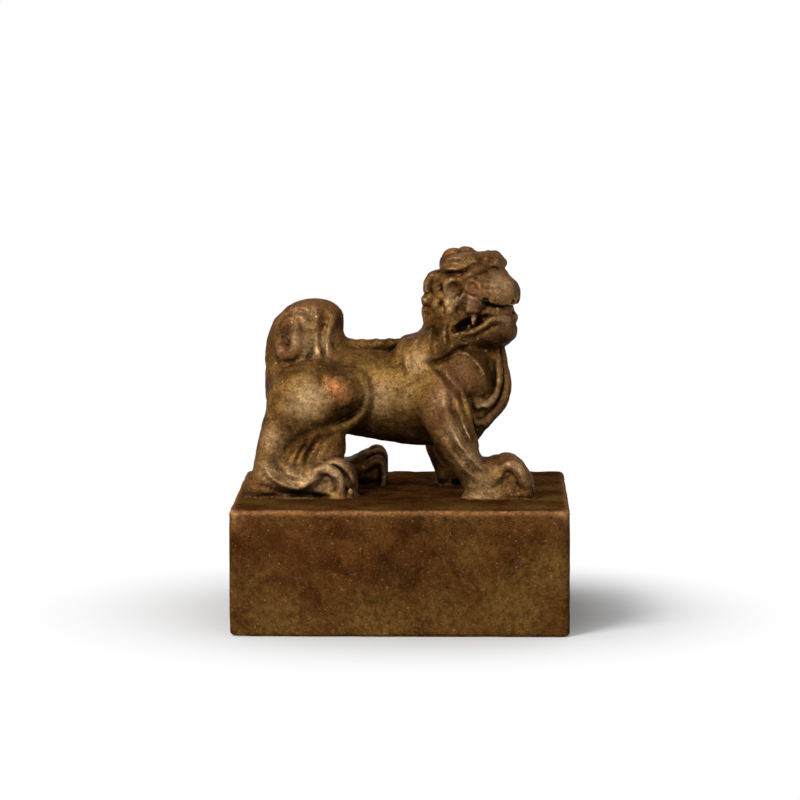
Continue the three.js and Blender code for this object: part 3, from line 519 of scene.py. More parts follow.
def tailForm(f, p):
    q = p.copy()
    q[:, 1] = -np.abs(q[:, 1])
    f = blendLow(f, blendLow(plume[2](q), plumeTop[2](q), 0.8), 1.4)
    # Dishing inside the rim, then the strand and the roll in front of it.
    cut(f, q, blob((-14.81, -4, 21.22), (2.6, 2.05, 3.5), pitch=-8), 0.7)
    cut(f, q, blob((-16.86, -3.7, 21.74), (1.1, 1.3, 2.0), pitch=25), 0.7)
    join(f, q, tailStrand, 0.5)
    join(f, q, tailRoll, 0.3)
    stroke(f, q, [(-17.05, 22.6), (-16.23, 23.69), (-15.14, 24.51), (-13.91, 24.65), (-12.82, 24.1),
                  (-12.14, 22.87)], -0.36, 0.36, 1.5, 3.4)
    stroke(f, q, [(-15.81, 20.98), (-16.77, 20.44), (-17.86, 19.62)], 0.2, 0.5, 1.5, 3.4)
    stroke(f, q, [(-12.2, 21.54), (-12.06, 19.9), (-12.67, 18.26), (-13.9, 17.24),
                  (-15.54, 16.97), (-16.76, 17.72), (-17.24, 19.08)], -0.24, 0.42, 1.5, 3.4)
    # Long creases run up the middle of the plume, with its front strand beside them.
    for rows, high, wide in (
        ([(-11.72, 25.62), (-11.65, 23.71), (-11.59, 21.39), (-11.45, 19.21), (-11.04, 17.44),
          (-10.22, 15.66), (-9.68, 14.16)], 0.34, 0.5),
        ([(-8.99, 25.07), (-9.34, 23.3), (-9.95, 21.39), (-10.15, 19.75), (-9.68, 17.98)], 0.36, 0.62),
        ([(-12.4, 25.75), (-12.2, 24.25), (-12.13, 22.62)], -0.2, 0.4),
        ([(-10.36, 25.35), (-10.56, 23.44), (-10.9, 21.25), (-10.77, 19.34), (-10.29, 17.71)],
         -0.42, 0.5),
        ([(-8.31, 23.16), (-8.86, 21.53), (-9.13, 19.62)], -0.2, 0.5)):
        stroke(f, q, rows, high, wide, 1.5, 3.4)
    for bead in ((-11.65, 23.85), (-10.7, 23.04), (-11.31, 19.22), (-9.67, 18.4), (-9.4, 16.35)):
        stroke(f, q, [bead, (bead[0] + 0.2, bead[1] + 0.15)], 0.6, 0.3, 1.5, 3.2)
    ridge(f, q, [(-10.94, -5.5, 17.83), (-10.23, -6.5, 16.43), (-9.53, -7.2, 14.61)], 0.3, 0.5)
    return f


# The head, drawn about its own middle: x forward, y to its left, z up, and then turned towards the side
# seen first.
head = {"place": (8.7, -0.6, 27.3), "turn": -28}


def headPoints(p):
    angle = np.radians(head["turn"])
    gap = p - np.asarray(head["place"])
    return np.stack([gap[:, 0] * np.cos(angle) + gap[:, 1] * np.sin(angle),
                     -np.abs(gap[:, 1] * np.cos(angle) - gap[:, 0] * np.sin(angle)), gap[:, 2]], axis=1)


def headForm(q):
    f = np.full(len(q), farAway)
    join(f, q, blob((-0.4, 0, 0.2), (4.2, 4.1, 4.0)), 0.6)
    join(f, q, blob((0.7, 0, 2.2), (3.7, 3.7, 2.7)), 0.8)
    join(f, q, limb([(-0.6, 0, -3.4, 3.5, 2.6), (-0.9, 0, -6.4, 3.5, 2.7)]), 0.6)
    # Snout: a broad dome from the brow to the nose, which overhangs the front of the mouth.
    join(f, q, limb([(1.0, 0, 1.5, 3.6, 3.0), (3.0, 0, 1.3, 3.4, 2.8), (4.8, 0, 0.3, 3.15, 2.35)], cap=1.0),
         0.8)
    join(f, q, blob((5.25, -0.5, -0.1), (2.15, 2.8, 1.85)), 1.2)
    cheek = limb([(2.39, -2.1, 1.11, 1.5, 1.4), (2.52, -2.2, -0.24, 1.5, 1.3),
                  (2.4, -2.4, -2.14, 1.2, 1.15)], cap=0.7)
    join(f, q, cheek, 1.6)
    join(f, q, blob((3.45, -2.35, 0.21), (1.9, 1.3, 1.5)), 1.4)
    # Front of the mouth: gums and teeth, and below it the lower jaw.
    join(f, q, gums, 0.3)
    join(f, q, limb([(-0.6, 0, -6.0, 3.3, 1.8), (2.2, 0, -6.1, 3.35, 1.9), (4.7, 0, -5.4, 3.1, 2.1),
                     (6.0, 0, -4.9, 2.5, 1.8)], cap=0.75), 0.6)
    # Curls and rolls of hair over the brow and the crown.
    spot = np.array((2.59, -3.2, 4.32))
    out = unit(spot - np.array([0, 0, 0.8]))
    side = unit(np.cross(out, [0, 0, 1]))
    up = np.cross(side, out)
    join(f, q, blob(spot - out * 0.55, (1.6, 1.5, 1.4)), 0.7)
    join(f, q, blob((-0.17, -2.5, 4.11), (1.7, 1.3, 1.2)), 0.7)
    join(f, q, blob((3.67, -1.6, 3.98), (1.5, 1.2, 1.2)), 0.7)
    coil = []
    for a in np.radians(np.arange(0, 391, 30)):
        turn = side * np.cos(a + 0.5) + up * np.sin(a + 0.5)
        coil.append((*(spot + out * (0.12 + 0.04 * a) + turn * (1.15 - 0.13 * a)), 0.36 - 0.01 * a))
    join(f, q, rope(coil, 3), 0.35)
    for rows in (
        [(-1.81, -2.2, 4.17, 0.9), (-1.37, -2, 4.72, 1.15), (-0.81, -1.6, 4.78, 1.2),
         (0.43, -1.6, 4.55, 1.0), (1.72, -2, 4.48, 0.6)],
        [(-1.51, -2.9, 3.48, 0.8), (-0.57, -3.2, 3.66, 1.05), (0.62, -3.4, 3.58, 1.1),
         (1.7, -3.4, 3.48, 0.8)],
        [(2.13, -1.6, 4.68, 0.9), (3, -1.2, 4.61, 1.05), (3.86, -0.8, 4.34, 1.1),
         (4.45, -0.6, 3.8, 1.1), (4.68, -0.6, 2.99, 1.0)]):
        join(f, q, rope(rows), 0.9)
    for rows, high, wide in (
        ([(-1.53, 4.09), (-0.45, 4.33), (0.79, 4.44), (2.02, 4.14)], -0.2, 0.26),
        ([(-1.46, 4.92), (-0.53, 5.29), (0.71, 5.4), (1.79, 5.02)], -0.14, 0.24),
        ([(-1.07, 3.56), (0.17, 3.81), (1.25, 3.64)], -0.16, 0.22),
        ([(-1.07, 3.15), (0.01, 3.33), (1.25, 3.23)], 0.12, 0.24),
        ([(-0.76, 4.59), (0.48, 4.91), (1.56, 4.81)], 0.12, 0.26),
        ([(1.33, 5.76), (2.1, 5.37), (3.18, 5.41)], -0.2, 0.3),
        ([(3.11, 5.48), (3.73, 4.96), (3.73, 4.14)], -0.2, 0.28),
        ([(4.34, 5.39), (4.88, 4.72), (4.88, 3.91)], -0.2, 0.28),
        ([(5.57, 4.88), (5.88, 4.21), (5.73, 3.39)], -0.14, 0.28),
        ([(2.96, 4.05), (4.04, 3.88), (5.11, 3.37), (6.19, 2.87)], -0.26, 0.3)):
        stroke(f, q, rows, high, wide, 0.4)
    # The tip of the nose, with its nostrils and a crease between them.
    join(f, q, rope([(7.1, 0.2, -1.05, 0.55), (6.95, -0.8, -1.05, 0.55), (6.5, -1.7, -1.0, 0.55),
               (5.6, -2.5, -0.9, 0.5), (4.5, -2.9, -0.8, 0.35)]), 0.9)
    cut(f, q, blob((7.5, -0.6, -1.2), (0.4, 0.36, 0.28)), 0.35)
    ridge(f, q, [(6.9, 0, 0.7), (7.4, 0, -0.2), (7.3, 0, -1.2)], -0.2, 0.3)
    ridge(f, q, [(5.9, 0, 1.75), (6.0, -1.0, 1.55), (5.8, -2.0, 1.1)], -0.16, 0.32)
    # A heavy brow that runs back over the eye, and a crease above it.
    join(f, q, rope([(0.65, -3.75, 1.02, 0.3), (1.42, -3.75, 1.59, 0.5), (2.3, -3.65, 2.3, 0.6),
                     (3.11, -3.3, 2.98, 0.62), (3.82, -2.75, 3.51, 0.55), (4.5, -2, 3.76, 0.4)]), 0.5)
    stroke(f, q, [(-1.68, 2.33), (-0.29, 2.59), (1.1, 2.77), (2.28, 3.21),
                  (3.15, 3.76)], -0.24, 0.34, 1.5)
    stroke(f, q, [(-1.22, 1.81), (0.02, 2.26), (1.26, 2.17)], 0.16, 0.34, 1.5)
    # Eye in its socket: a ball inside a ring.
    cut(f, q, blob((3.17, -4.85, 1.05), (1.5, 0.95, 1.5)), 0.45)
    join(f, q, blob((2.72, -3.3, 0.86), (0.95, 0.75, 0.95)), 0.25)
    eye = np.array((3.04, -3.9, 0.91))
    ring = [(eye[0] + 0.82 * np.cos(a), -3.82 + 0.2 * np.cos(a), eye[2] + 0.86 * np.sin(a), 0.25)
            for a in np.radians(np.arange(0, 361, 30))]
    join(f, q, rope(ring, 3), 0.3)
    stroke(f, q, [(3.94, 1.95), (4.3, 0.88), (4.14, -0.34)], 0.22, 0.42, 2)
    stroke(f, q, [(2.41, 0.15), (3.1, -0.3), (3.76, -0.29)], -0.2, 0.3, 2)
    # Ear: a cup open to the front, with a crease behind it.
    join(f, q, blob((-0.43, -3.6, 0.56), (1.2, 0.9, 1.45)), 0.5)
    join(f, q, rope([(-0.66, -3.9, -0.65, 0.35), (-0.96, -4.05, 0.3, 0.5), (-0.71, -4.1, 1.2, 0.55),
                     (0.09, -4.15, 1.64, 0.55), (0.81, -4.05, 1.39, 0.45), (1.2, -3.9, 0.78, 0.35)]), 0.5)
    cut(f, q, blob((0.75, -4.65, 0.54), (0.9, 0.7, 1.0)), 0.5)
    stroke(f, q, [(-1.5, 1.93), (-1.6, 0.7), (-1.14, -0.64)], -0.34, 0.34, 1.5)
    # Locks of hair over the back of the head, which hang down the nape and turn out at their ends.
    for rows in (
        [(-2.8, -0.1, 2.3, 0.8), (-4.2, 0.0, 1.1, 0.9), (-4.85, 0.0, -0.8, 0.85), (-4.75, -0.1, -3.0, 0.85),
         (-5.1, -0.3, -5.2, 0.8), (-5.8, -0.7, -6.8, 0.6)],
        [(-2.8, -1.7, 2.1, 0.8), (-4.2, -1.7, 0.8, 0.9), (-4.8, -1.75, -1.2, 0.85),
         (-4.6, -1.9, -3.6, 0.85), (-4.8, -2.3, -5.6, 0.75), (-5.3, -2.9, -6.9, 0.5)],
        [(-3.2, -3.1, 1.2, 0.6), (-4.0, -3.2, -0.4, 0.75), (-4.2, -3.3, -2.6, 0.8), (-3.9, -3.5, -4.8, 0.7),
         (-4.2, -3.9, -6.4, 0.5)]):
        join(f, q, rope(rows), 0.3)
    # Locks behind the ear, at the back of the head and down to the jaw.
    join(f, q,
         limb([(-3.47, -1, 1.78, 2.5, 1.5), (-3.89, -1.1, 0.4, 2.6, 1.6), (-3.99, -1.2, -1.11, 2.5, 1.5),
               (-3.62, -1.3, -2.59, 2.4, 1.4)], cap=0.7), 0.6)
    for rows, blend in (
        ([(-3.07, -2.6, 2.17, 0.5), (-3.82, -2.8, 1.61, 0.75), (-4.05, -2.8, 0.65, 0.75),
          (-3.47, -3, 0, 0.45)], 0.5),
        ([(-1.86, -3.4, 1.45, 0.5), (-2.53, -3.3, 0.87, 0.8), (-2.53, -3.3, -0.08, 0.75),
          (-1.81, -3.5, -0.59, 0.5)], 0.5),
        ([(-3.22, -2.9, -0.14, 0.5), (-4.11, -2.7, -0.87, 0.75), (-4.16, -2.6, -1.83, 0.6)], 0.5),
        ([(-2.48, -3.4, -0.76, 0.5), (-2.58, -3.5, -1.71, 0.8), (-2.19, -3.5, -2.65, 0.75),
          (-2.17, -3.4, -3.88, 0.55)], 0.4),
        ([(-1.08, -3.7, -0.68, 0.5), (-0.72, -3.65, -1.49, 0.85), (-0.43, -3.6, -2.3, 0.95),
          (-0.72, -3.5, -3.41, 0.75), (-1.06, -3.3, -5.07, 0.5)], 0.5),
        ([(-3.16, -3, -2.59, 0.6), (-3.26, -3.1, -3.81, 0.8), (-3.63, -3, -5.61, 0.7)], 0.6)):
        join(f, q, rope(rows), blend)
    for rows in ([(-4.1, -0.85, 1.7), (-5.4, -0.9, 0.2), (-5.6, -0.95, -2.0), (-5.5, -1.1, -4.2),
                  (-5.8, -1.5, -6.2)],
                 [(-4.1, -2.6, 1.4), (-5.2, -2.6, 0.0), (-5.3, -2.65, -2.2), (-5.0, -2.9, -4.4),
                  (-5.2, -3.4, -6.0)]):
        ridge(f, q, rows, -0.36, 0.36)
    for rows in ([(-4.9, -0.3, 1.2), (-5.7, -0.35, -0.6), (-5.6, -0.4, -2.8), (-5.8, -0.6, -5.0)],
                 [(-4.9, -1.75, 1.0), (-5.7, -1.8, -0.8), (-5.4, -1.95, -3.0), (-5.6, -2.3, -5.0)]):
        ridge(f, q, rows, -0.2, 0.24)
    for rows, high, wide in (
        ([(-2.85, 2.21), (-3.47, 1.36), (-3.47, 0.27), (-3.01, -0.39)], -0.3, 0.28),
        ([(-5.58, -0.22), (-4.25, -0.37), (-3.32, -0.13)], -0.34, 0.28),
        ([(-4.96, 1.52), (-4.1, 0.8), (-4.25, 0.11)], 0.2, 0.34),
        ([(-5.42, -1.79), (-4.25, -2.01), (-3.47, -2.05)], -0.24, 0.28),
        ([(-5.27, -0.82), (-4.1, -1.12), (-3.79, -1.65)], 0.18, 0.3),
        ([(-1.38, -0.94), (-1.15, -2.16), (-1.15, -3.52), (-1.53, -5.17)], -0.26, 0.32),
        ([(0.4, -1.56), (0.55, -2.5), (0.09, -3.47)], -0.24, 0.32),
        ([(-0.91, -1.47), (-0.3, -1.31), (0.32, -0.88)], 0.16, 0.32),
        ([(-0.76, -2.28), (-0.37, -1.86), (0.17, -1.7)], -0.12, 0.24),
        ([(-2.15, -2.2), (-2.31, -3.57), (-2.31, -4.66)], -0.2, 0.32),
        ([(-3.79, -2.06), (-3.79, -3.43), (-4.25, -5.09)], -0.14, 0.3),
        ([(1.94, 0.27), (1.4, -0.5), (0.63, -1.41)], 0.2, 0.34),
        ([(1.56, 0.53), (1.02, -0.17), (0.09, -0.89)], -0.24, 0.28)):
        stroke(f, q, rows, high, wide, 1.0)
    return f


gums = limb([(1.5, 0, -2.5, 2.3, 1.6), (4.2, 0, -2.5, 2.4, 1.6), (5.7, 0, -2.5, 2.25, 1.5)], cap=0.66)


# The open mouth is cut into the finished head from each side, and the lips and the long tooth are laid
# over it.
def mouthForm(f, q):
    # Under the edge of the snout the metal is cut back to the gums.
    band = np.maximum(q[:, 2] + 0.25 + 0.19 * q[:, 0], -3.2 - q[:, 2])
    band = np.maximum(np.maximum(band, 4.15 - q[:, 0]), -gums[2](q))
    f[:] = -blendLow(-f, band, 0.3)
    cut(f, q, rope([(4.85, -3.4, -0.89, 0.45), (4.88, -3.3, -1.71, 0.6), (4.88, -3.3, -2.52, 0.5)]), 0.3)
    stroke(f, q, [(2.38, 0.02), (2, -0.95), (1.61, -1.91), (0.99, -2.75)], -0.24, 0.4, 2)
    cut(f, q, limb([(0.72, -4.3, -4.79, 2.1, 0.6), (1.82, -4.2, -4.21, 2.5, 0.95),
                    (3.2, -4.2, -3.61, 2.5, 0.95), (4.63, -4, -3.09, 2.2, 0.6)]), 0.25)
    lip = [(0.26, -3.3, -3.11, 0.3), (-0.33, -3.5, -3.94, 0.5), (-0.43, -3.6, -4.89, 0.6),
           (0.18, -3.6, -5.75, 0.6), (1.29, -3.5, -5.78, 0.58), (2.47, -3.4, -5.4, 0.54),
           (3.62, -3.25, -4.88, 0.5), (4.57, -3, -4.25, 0.52), (5.43, -2.6, -3.57, 0.6),
           (6.13, -1.9, -3.46, 0.66), (6.53, -0.9, -3.59, 0.72), (5.9, 0, -3.65, 0.76)]
    join(f, q, rope(lip), 0.4)
    # One long tooth and stumps of others in the dark of the mouth.
    for rows in ([(2.53, -2.5, -2.81, 0.45), (2.64, -2.7, -3.47, 0.38), (2.59, -2.75, -4.08, 0.22)],
                 [(1.65, -2.3, -5.17, 0.42), (1.78, -2.4, -4.62, 0.3)]):
        join(f, q, rope(rows), 0.3)
    ridge(f, q, [(-0.04, -3.9, -6.35), (1.77, -4.1, -6.66), (3.61, -4.1, -6.45), (4.84, -3.8, -5.67),
                 (6.1, -3.3, -4.64)], 0.34, 0.5)
    ridge(f, q, [(1.09, -4, -6.22), (2.48, -4, -6.03), (3.91, -3.8, -5.58), (5.14, -3.5, -4.8),
                 (6.1, -3, -3.99)], -0.36, 0.36)
    ridge(f, q, [(6.41, -3, -3.91), (7.21, -2.2, -4.21), (7.66, -1, -4.42), (7.1, 0, -4.45)], -0.4, 0.36)
    # Rough stubs of teeth on the gums.
    for rows, size in (([(5.17, -2.4, -1.49), (5.3, -2.5, -2.16), (5.22, -2.5, -2.84)], 0.2),
                       ([(5.99, -2.2, -1.47), (6.11, -2.3, -2.14), (6.04, -2.3, -2.82)], 0.24),
                       ([(6.72, -1.7, -1.75), (6.85, -1.8, -2.28), (6.77, -1.8, -2.83)], 0.24),
                       ([(7.25, -0.8, -1.93), (7.38, -0.9, -2.46), (7.3, -0.9, -3.01)], 0.2)):
        ridge(f, q, rows, size, 0.45)
    # Nostril wings.
    ridge(f, q, [(4.32, -3.4, -0.03), (5.18, -3.3, 0.41), (6.2, -2.9, 0.48), (6.96, -2.3, 0.2)], 0.2, 0.6)
    ridge(f, q, [(4.16, -3.4, 0.58), (5.08, -3.4, 0.95), (6, -3.1, 1.03), (6.81, -2.6, 0.83)], -0.2, 0.4)


# Lumps in the skin of the casting: height, size, and the place in the lattice that they are read from.
castSkin = ((0.06, 1.3, 0.0), (0.035, 0.55, 5.3), (0.018, 0.3, 2.9))

# Where each left paw stands: how far it is set forward of where the right one is drawn, and how long it
# is drawn from its heel on. The leg above it bends over from hip to ankle.
stride = {
    "leftHind": {"forward": 7.5, "long": 0.8, "heel": -20.0, "hip": 13.5, "ankle": 4.0},
    "leftFore": {"forward": -2.3, "long": 0.65, "heel": 4.0, "hip": 11.0, "ankle": 4.0},
}


def strideOf(q, left, foot):
    moved = q.copy()
    heel = foot["heel"]
    share = np.clip((foot["hip"] - q[:, 2]) / (foot["hip"] - foot["ankle"]), 0, 1)
    share = share * share * (3 - 2 * share)
    x = q[:, 0] - foot["forward"] * share
    x = np.where(x > heel, heel + (x - heel) / (1 + (foot["long"] - 1) * share), x)
    moved[:, 0] = np.where(left, x, q[:, 0])
    return moved


def lionFormOf(p):
    f = np.full(len(p), farAway)
    i = np.flatnonzero((p[:, 2] < 27) & (p[:, 0] > -24))
    if len(i):
        part = p[i]
        left = part[:, 1] > 0
        q, g = trunkForm(part)
        spineForm(g, q)
        hind = strideOf(q, left, stride["leftHind"])
        fore = strideOf(q, left, stride["leftFore"])
        hindLegForm(g, hind, q, left)
        hindPawForm(g, hind, left)
        # The left foot reaches forward, and its instep dips behind the toes.
        cut(g, part, blob((-8.0, 7.0, 6.7), (2.5, 4.2, 3.3)), 1.2)
        foreLegForm(g, fore)
        forePawForm(g, fore, left)
        maneForm(g, q)
        breastForm(g, q)
        f[i] = g
    i = np.flatnonzero((p[:, 2] > 10) & (p[:, 0] < -5.5))
    if len(i):
        f[i] = tailForm(f[i], p[i])
    i = np.flatnonzero((p[:, 2] > 17.5) & (p[:, 0] > 0))
    if len(i):
        q = headPoints(p[i])
        g = blendLow(f[i], headForm(q), 0.7)
        mouthForm(g, q)
        f[i] = g
    # The skin of a casting is never quite even.
    rough = np.flatnonzero(np.abs(f) < 1.2)
    f[rough] += sum(height * lumps(p[rough], size, shift) for height, size, shift in castSkin)
    return f


# Long lists of points are shared out in short runs, which keeps every array small.
workers = ThreadPoolExecutor(4)
longestRun = 60000


def lionForm(p):
    runs = np.array_split(p, len(p) // longestRun + 1)
    return np.concatenate(list(workers.map(lionFormOf, runs)))


# The lion is made as four pieces. border says where they part: the tail behind a place in x and above a
# height, the head above a sloping line, and the body in two at its middle.
border = {"tailFront": -7.2, "tailFoot": 18.4, "headHeight": 20.9, "headX": 9, "headSlope": 0.36,
          "middle": -3.0}
seam = {"past": 0.9, "sink": 0.5, "fillet": 0.9, "filletReach": 0.7, "filletFoot": 0.15, "foot": 0.25}


# How far a point is outside the part of the lion that a piece takes.
def tailZone(p):
    return np.maximum(p[:, 0] - border["tailFront"], border["tailFoot"] - p[:, 2])


def headZone(p):
    return border["headHeight"] - border["headSlope"] * (p[:, 0] - border["headX"]) - p[:, 2]


def hindZone(p):
    return np.maximum(p[:, 0] - border["middle"], -tailZone(p))


def foreZone(p):
    return np.maximum(border["middle"] - p[:, 0], -headZone(p))


# A piece goes on a little past its border and sinks under its neighbour there, so that the casting shows
# no joint. A small fillet runs round each foot where the casting meets the block, and each foot is flat a
# little way into it.
def pieceForm(p, zone):
    own = lionForm(p)
    fillet = blendLow(own, p[:, 2] + seam["filletFoot"], seam["fillet"])
    f = np.maximum(fillet, own - seam["filletReach"])
    out = zone(p)
    f = f + seam["sink"] * np.maximum(out, 0) ** 2
    f = np.maximum(f, out - seam["past"])
    return np.maximum(f, -seam["foot"] - p[:, 2])


# The lattice is worked out coarsely first, and finely only where the skin may pass.
def latticeOf(form, low, high, cell):
    coarse = 4 * cell
    count = np.ceil((np.asarray(high) - low) / coarse).astype(int)
    axes = [low[n] + coarse * np.arange(count[n] + 1) for n in range(3)]
    points = np.stack(np.meshgrid(*axes, indexing="ij"), axis=-1).reshape(-1, 3)
    field = form(points).reshape(count + 1)
    t = np.arange(4) / 4
    for n in range(3):
        field = np.moveaxis(field, n, 0)
        between = field[:-1, None] * (1 - t[:, None, None]) + field[1:, None] * t[:, None, None]
        field = np.concatenate([between.reshape(-1, *field.shape[1:]), field[-1:]])
        field = np.moveaxis(field, 0, n)
    near = np.argwhere(np.abs(field) < 1.15 * coarse)
    field[tuple(near.T)] = form(low + cell * near)
    return field


# Faces cross the lattice edges on which the distance changes sign. Each cell that they meet in has one
# point, the middle of the places where its twelve edges cross the skin.
def skinOf(field, low, cell):
    inside = field < 0
    size = np.array(field.shape) - 1
    corners = [(x, y, z) for x in (0, 1) for y in (0, 1) for z in (0, 1)]
    window = lambda a, c: a[c[0]:c[0] + size[0], c[1]:c[1] + size[1], c[2]:c[2] + size[2]]
    filled = sum(window(inside, c).astype(np.uint8) for c in corners)
    used = (filled > 0) & (filled < 8)
    cells = np.argwhere(used)
    number = np.full(size, -1)
    number[used] = np.arange(len(cells))
    values = {c: window(field, c)[used] for c in corners}
    total = np.zeros((len(cells), 3))
    hits = np.zeros(len(cells))
    for c in corners:
        for n in range(3):
            if c[n] == 0:
                d = tuple(c[m] + (m == n) for m in range(3))
                a, b = values[c], values[d]
                crossed = (a < 0) != (b < 0)
                t = np.where(crossed, a / np.where(crossed, a - b, 1), 0)
                step = (t * crossed)[:, None] * (np.array(d) - np.array(c))
                total += crossed[:, None] * np.array(c) + step
                hits += crossed
    points = low + cell * (cells + total / hits[:, None])
    faces = []
    for n in range(3):
        u, v = (n + 1) % 3, (n + 2) % 3
        first = np.moveaxis(inside, (n, u, v), (0, 1, 2))
        index = np.moveaxis(number, (n, u, v), (0, 1, 2))
        below, above = first[:-1, 1:-1, 1:-1], first[1:, 1:-1, 1:-1]
        i, j, k = np.nonzero(below != above)
        corner = (index[i, j, k], index[i, j + 1, k], index[i, j + 1, k + 1], index[i, j, k + 1])
        ring = np.stack(corner, axis=1)
        turned = ~below[i, j, k]
        ring[turned] = ring[turned][:, ::-1]
        faces.append(ring)
    return points, np.concatenate(faces)


# Loose specks are left out: every point takes the lowest number that it is joined to, and small sets are
# dropped.
def mainPart(points, faces):
    pairs = np.concatenate([faces[:, [0, 1]], faces[:, [1, 2]], faces[:, [2, 3]], faces[:, [3, 0]]])
    label = np.arange(len(points))
    while True:
        lowest = np.minimum(label[pairs[:, 0]], label[pairs[:, 1]])
        new = label.copy()
        np.minimum.at(new, pairs[:, 0], lowest)
        np.minimum.at(new, pairs[:, 1], lowest)
        new = new[new]
        new = new[new]
        if np.array_equal(new, label):
            break
        label = new
    main = np.bincount(label).argmax()
    keep = label == main
    number = np.cumsum(keep) - 1
    return points[keep], number[faces[keep[faces[:, 0]]]]


# The skin of a form. At the end each point takes one step along the slope of the distance on to the skin,
# no further than a share of a cell. Where the distance hardly changes, the least slope keeps that step
# short.
def sculpt(form, low, high, cell, furthest=0.5, leastSlope=0.3, nudge=0.03):
    low = np.asarray(low, float)
    points, faces = mainPart(*skinOf(latticeOf(form, low, high, cell), low, cell))
    away = form(points)
    slope = np.stack([form(points + nudge * np.eye(3)[n]) - away for n in range(3)], axis=1) / nudge
    move = away[:, None] * slope / np.maximum((slope**2).sum(1), leastSlope)[:, None]
    return points - np.clip(move, -furthest * cell, furthest * cell), faces


# All that stands round the lion: its own metal, and the top of the block just below its feet.
def lionSpace(p):
    return np.minimum(lionForm(p), p[:, 2] + 0.02)


# Readings of the skin for its finish. The crevice reading is how much metal closes in on a point from
# outside, and under how far the skin faces down; the finish paints shade from both. crown and swell are how
# far the point stands above the skin that has been evened out round it, a little for crown and widely for
# swell.
def readings(points, faces, space, cell):
    corner = points[faces]
    normal = np.cross(corner[:, 2] - corner[:, 0], corner[:, 3] - corner[:, 1])
    out = np.zeros_like(points)
    for n in range(4):
        for axis in range(3):
            out[:, axis] += np.bincount(faces[:, n], normal[:, axis], len(points))
    out = unit(out)
    creviceShade = np.zeros(len(points))
    for reach, share in ((0.35, 0.22), (0.8, 0.26), (1.6, 0.28), (3.0, 0.24)):
        creviceShade += share * np.clip(1 - space(points + out * reach) / reach, 0, 1)
    pairs = np.concatenate([faces[:, [0, 1]], faces[:, [1, 2]], faces[:, [2, 3]], faces[:, [3, 0]]])
    count = np.bincount(pairs.ravel(), minlength=len(points))[:, None]
    even = points.copy()
    values = {"creviceShade": creviceShade, "under": np.maximum(-out[:, 2], 0)}
    few = max(2, round(0.16 / cell**2))
    first, second = pairs.T
    for n in range(1, 5 * few + 1):
        ahead = [np.bincount(first, even[second, m], len(points)) for m in range(3)]
        behind = [np.bincount(second, even[first, m], len(points)) for m in range(3)]
        even = (np.stack(ahead, axis=1) + np.stack(behind, axis=1)) / np.maximum(count, 1)
        if n in (few, 5 * few):
            values["crown" if n == few else "swell"] = np.einsum("ij,ij->i", points - even, out)
    return values


# Each part of the lion: the CAD solids that it stands for, the room that it is worked out in, and its
# fineness.
lionPieces = {
    "lion_hindquarters": {
        "zone": hindZone, "low": (-22.4, -11.2, -0.6), "high": (-1.4, 11.2, 21.6), "cell": 0.162,
        "nodes": ["torso", "spine_ridge", *(side + part for side in ("right_", "left_")
                                            for part in ("haunch", "knee_fold", "shank", "hind_paw"))]},
    "lion_forequarters": {
        "zone": foreZone, "low": (-4.6, -11.2, -0.6), "high": (19.4, 11.2, 26.4), "cell": 0.162,
        "nodes": ["neck", "breast", "breast_plate_right", "breast_plate_left", "beard_lock_right_1",
                  "beard_lock_right_2", "beard_lock_left_1", "beard_lock_left_2",
                  *(side + part for side in ("right_", "left_")
                    for part in ("foreleg", "foreleg_tuft", "fore_paw"))]},
    "lion_tail": {
        "zone": tailZone, "low": (-20.4, -9.2, 17.1), "high": (-5.8, 9.2, 27.6), "cell": 0.12,
        "nodes": ["tail_brush", "tail_curl_right", "tail_curl_left"]},
    "lion_head": {
        "zone": headZone, "low": (0.6, -8.4, 17.0), "high": (17.4, 7.6, 34.0), "cell": 0.108,
        "nodes": ["skull", "hair", "muzzle", "nose", "teeth", "lower_jaw", "forehead_curl_right",
                  "forehead_curl_left", "nape_curl_right", "nape_curl_left", "crown_curl",
                  "nape_curl_middle", "nape_curl_low", *(side + part for side in ("right_", "left_")
                                                         for part in ("eye", "brow", "ear", "jowl"))]},
}


# The block: a square prism with round corners and softened edges. Its face is cut back inside a border
# round raised square spirals, one in each quarter, which start at the border. Lengths along a spiral
# count in steps of its spacing.
block = {
    "side": 45.0, "height": blockTop, "corner": 1.2, "edge": 0.6, "border": 3.2, "depth": 1.2,
    "turns": 5.25, "cell": 0.31, "wave": 0.05, "ripple": 0.03, "dent": 0.2, "pit": 0.16,
    "rubbed": 0.5, "rubbedCorner": 1.8,
}
spiral = [(0.75, -0.75), (0.75, 4.75), (4.75, 4.75), (4.75, 0.75), (1.75, 0.75), (1.75, 3.75), (3.75, 3.75),
          (3.75, 1.75), (2.75, 1.75), (2.75, 2.75)]


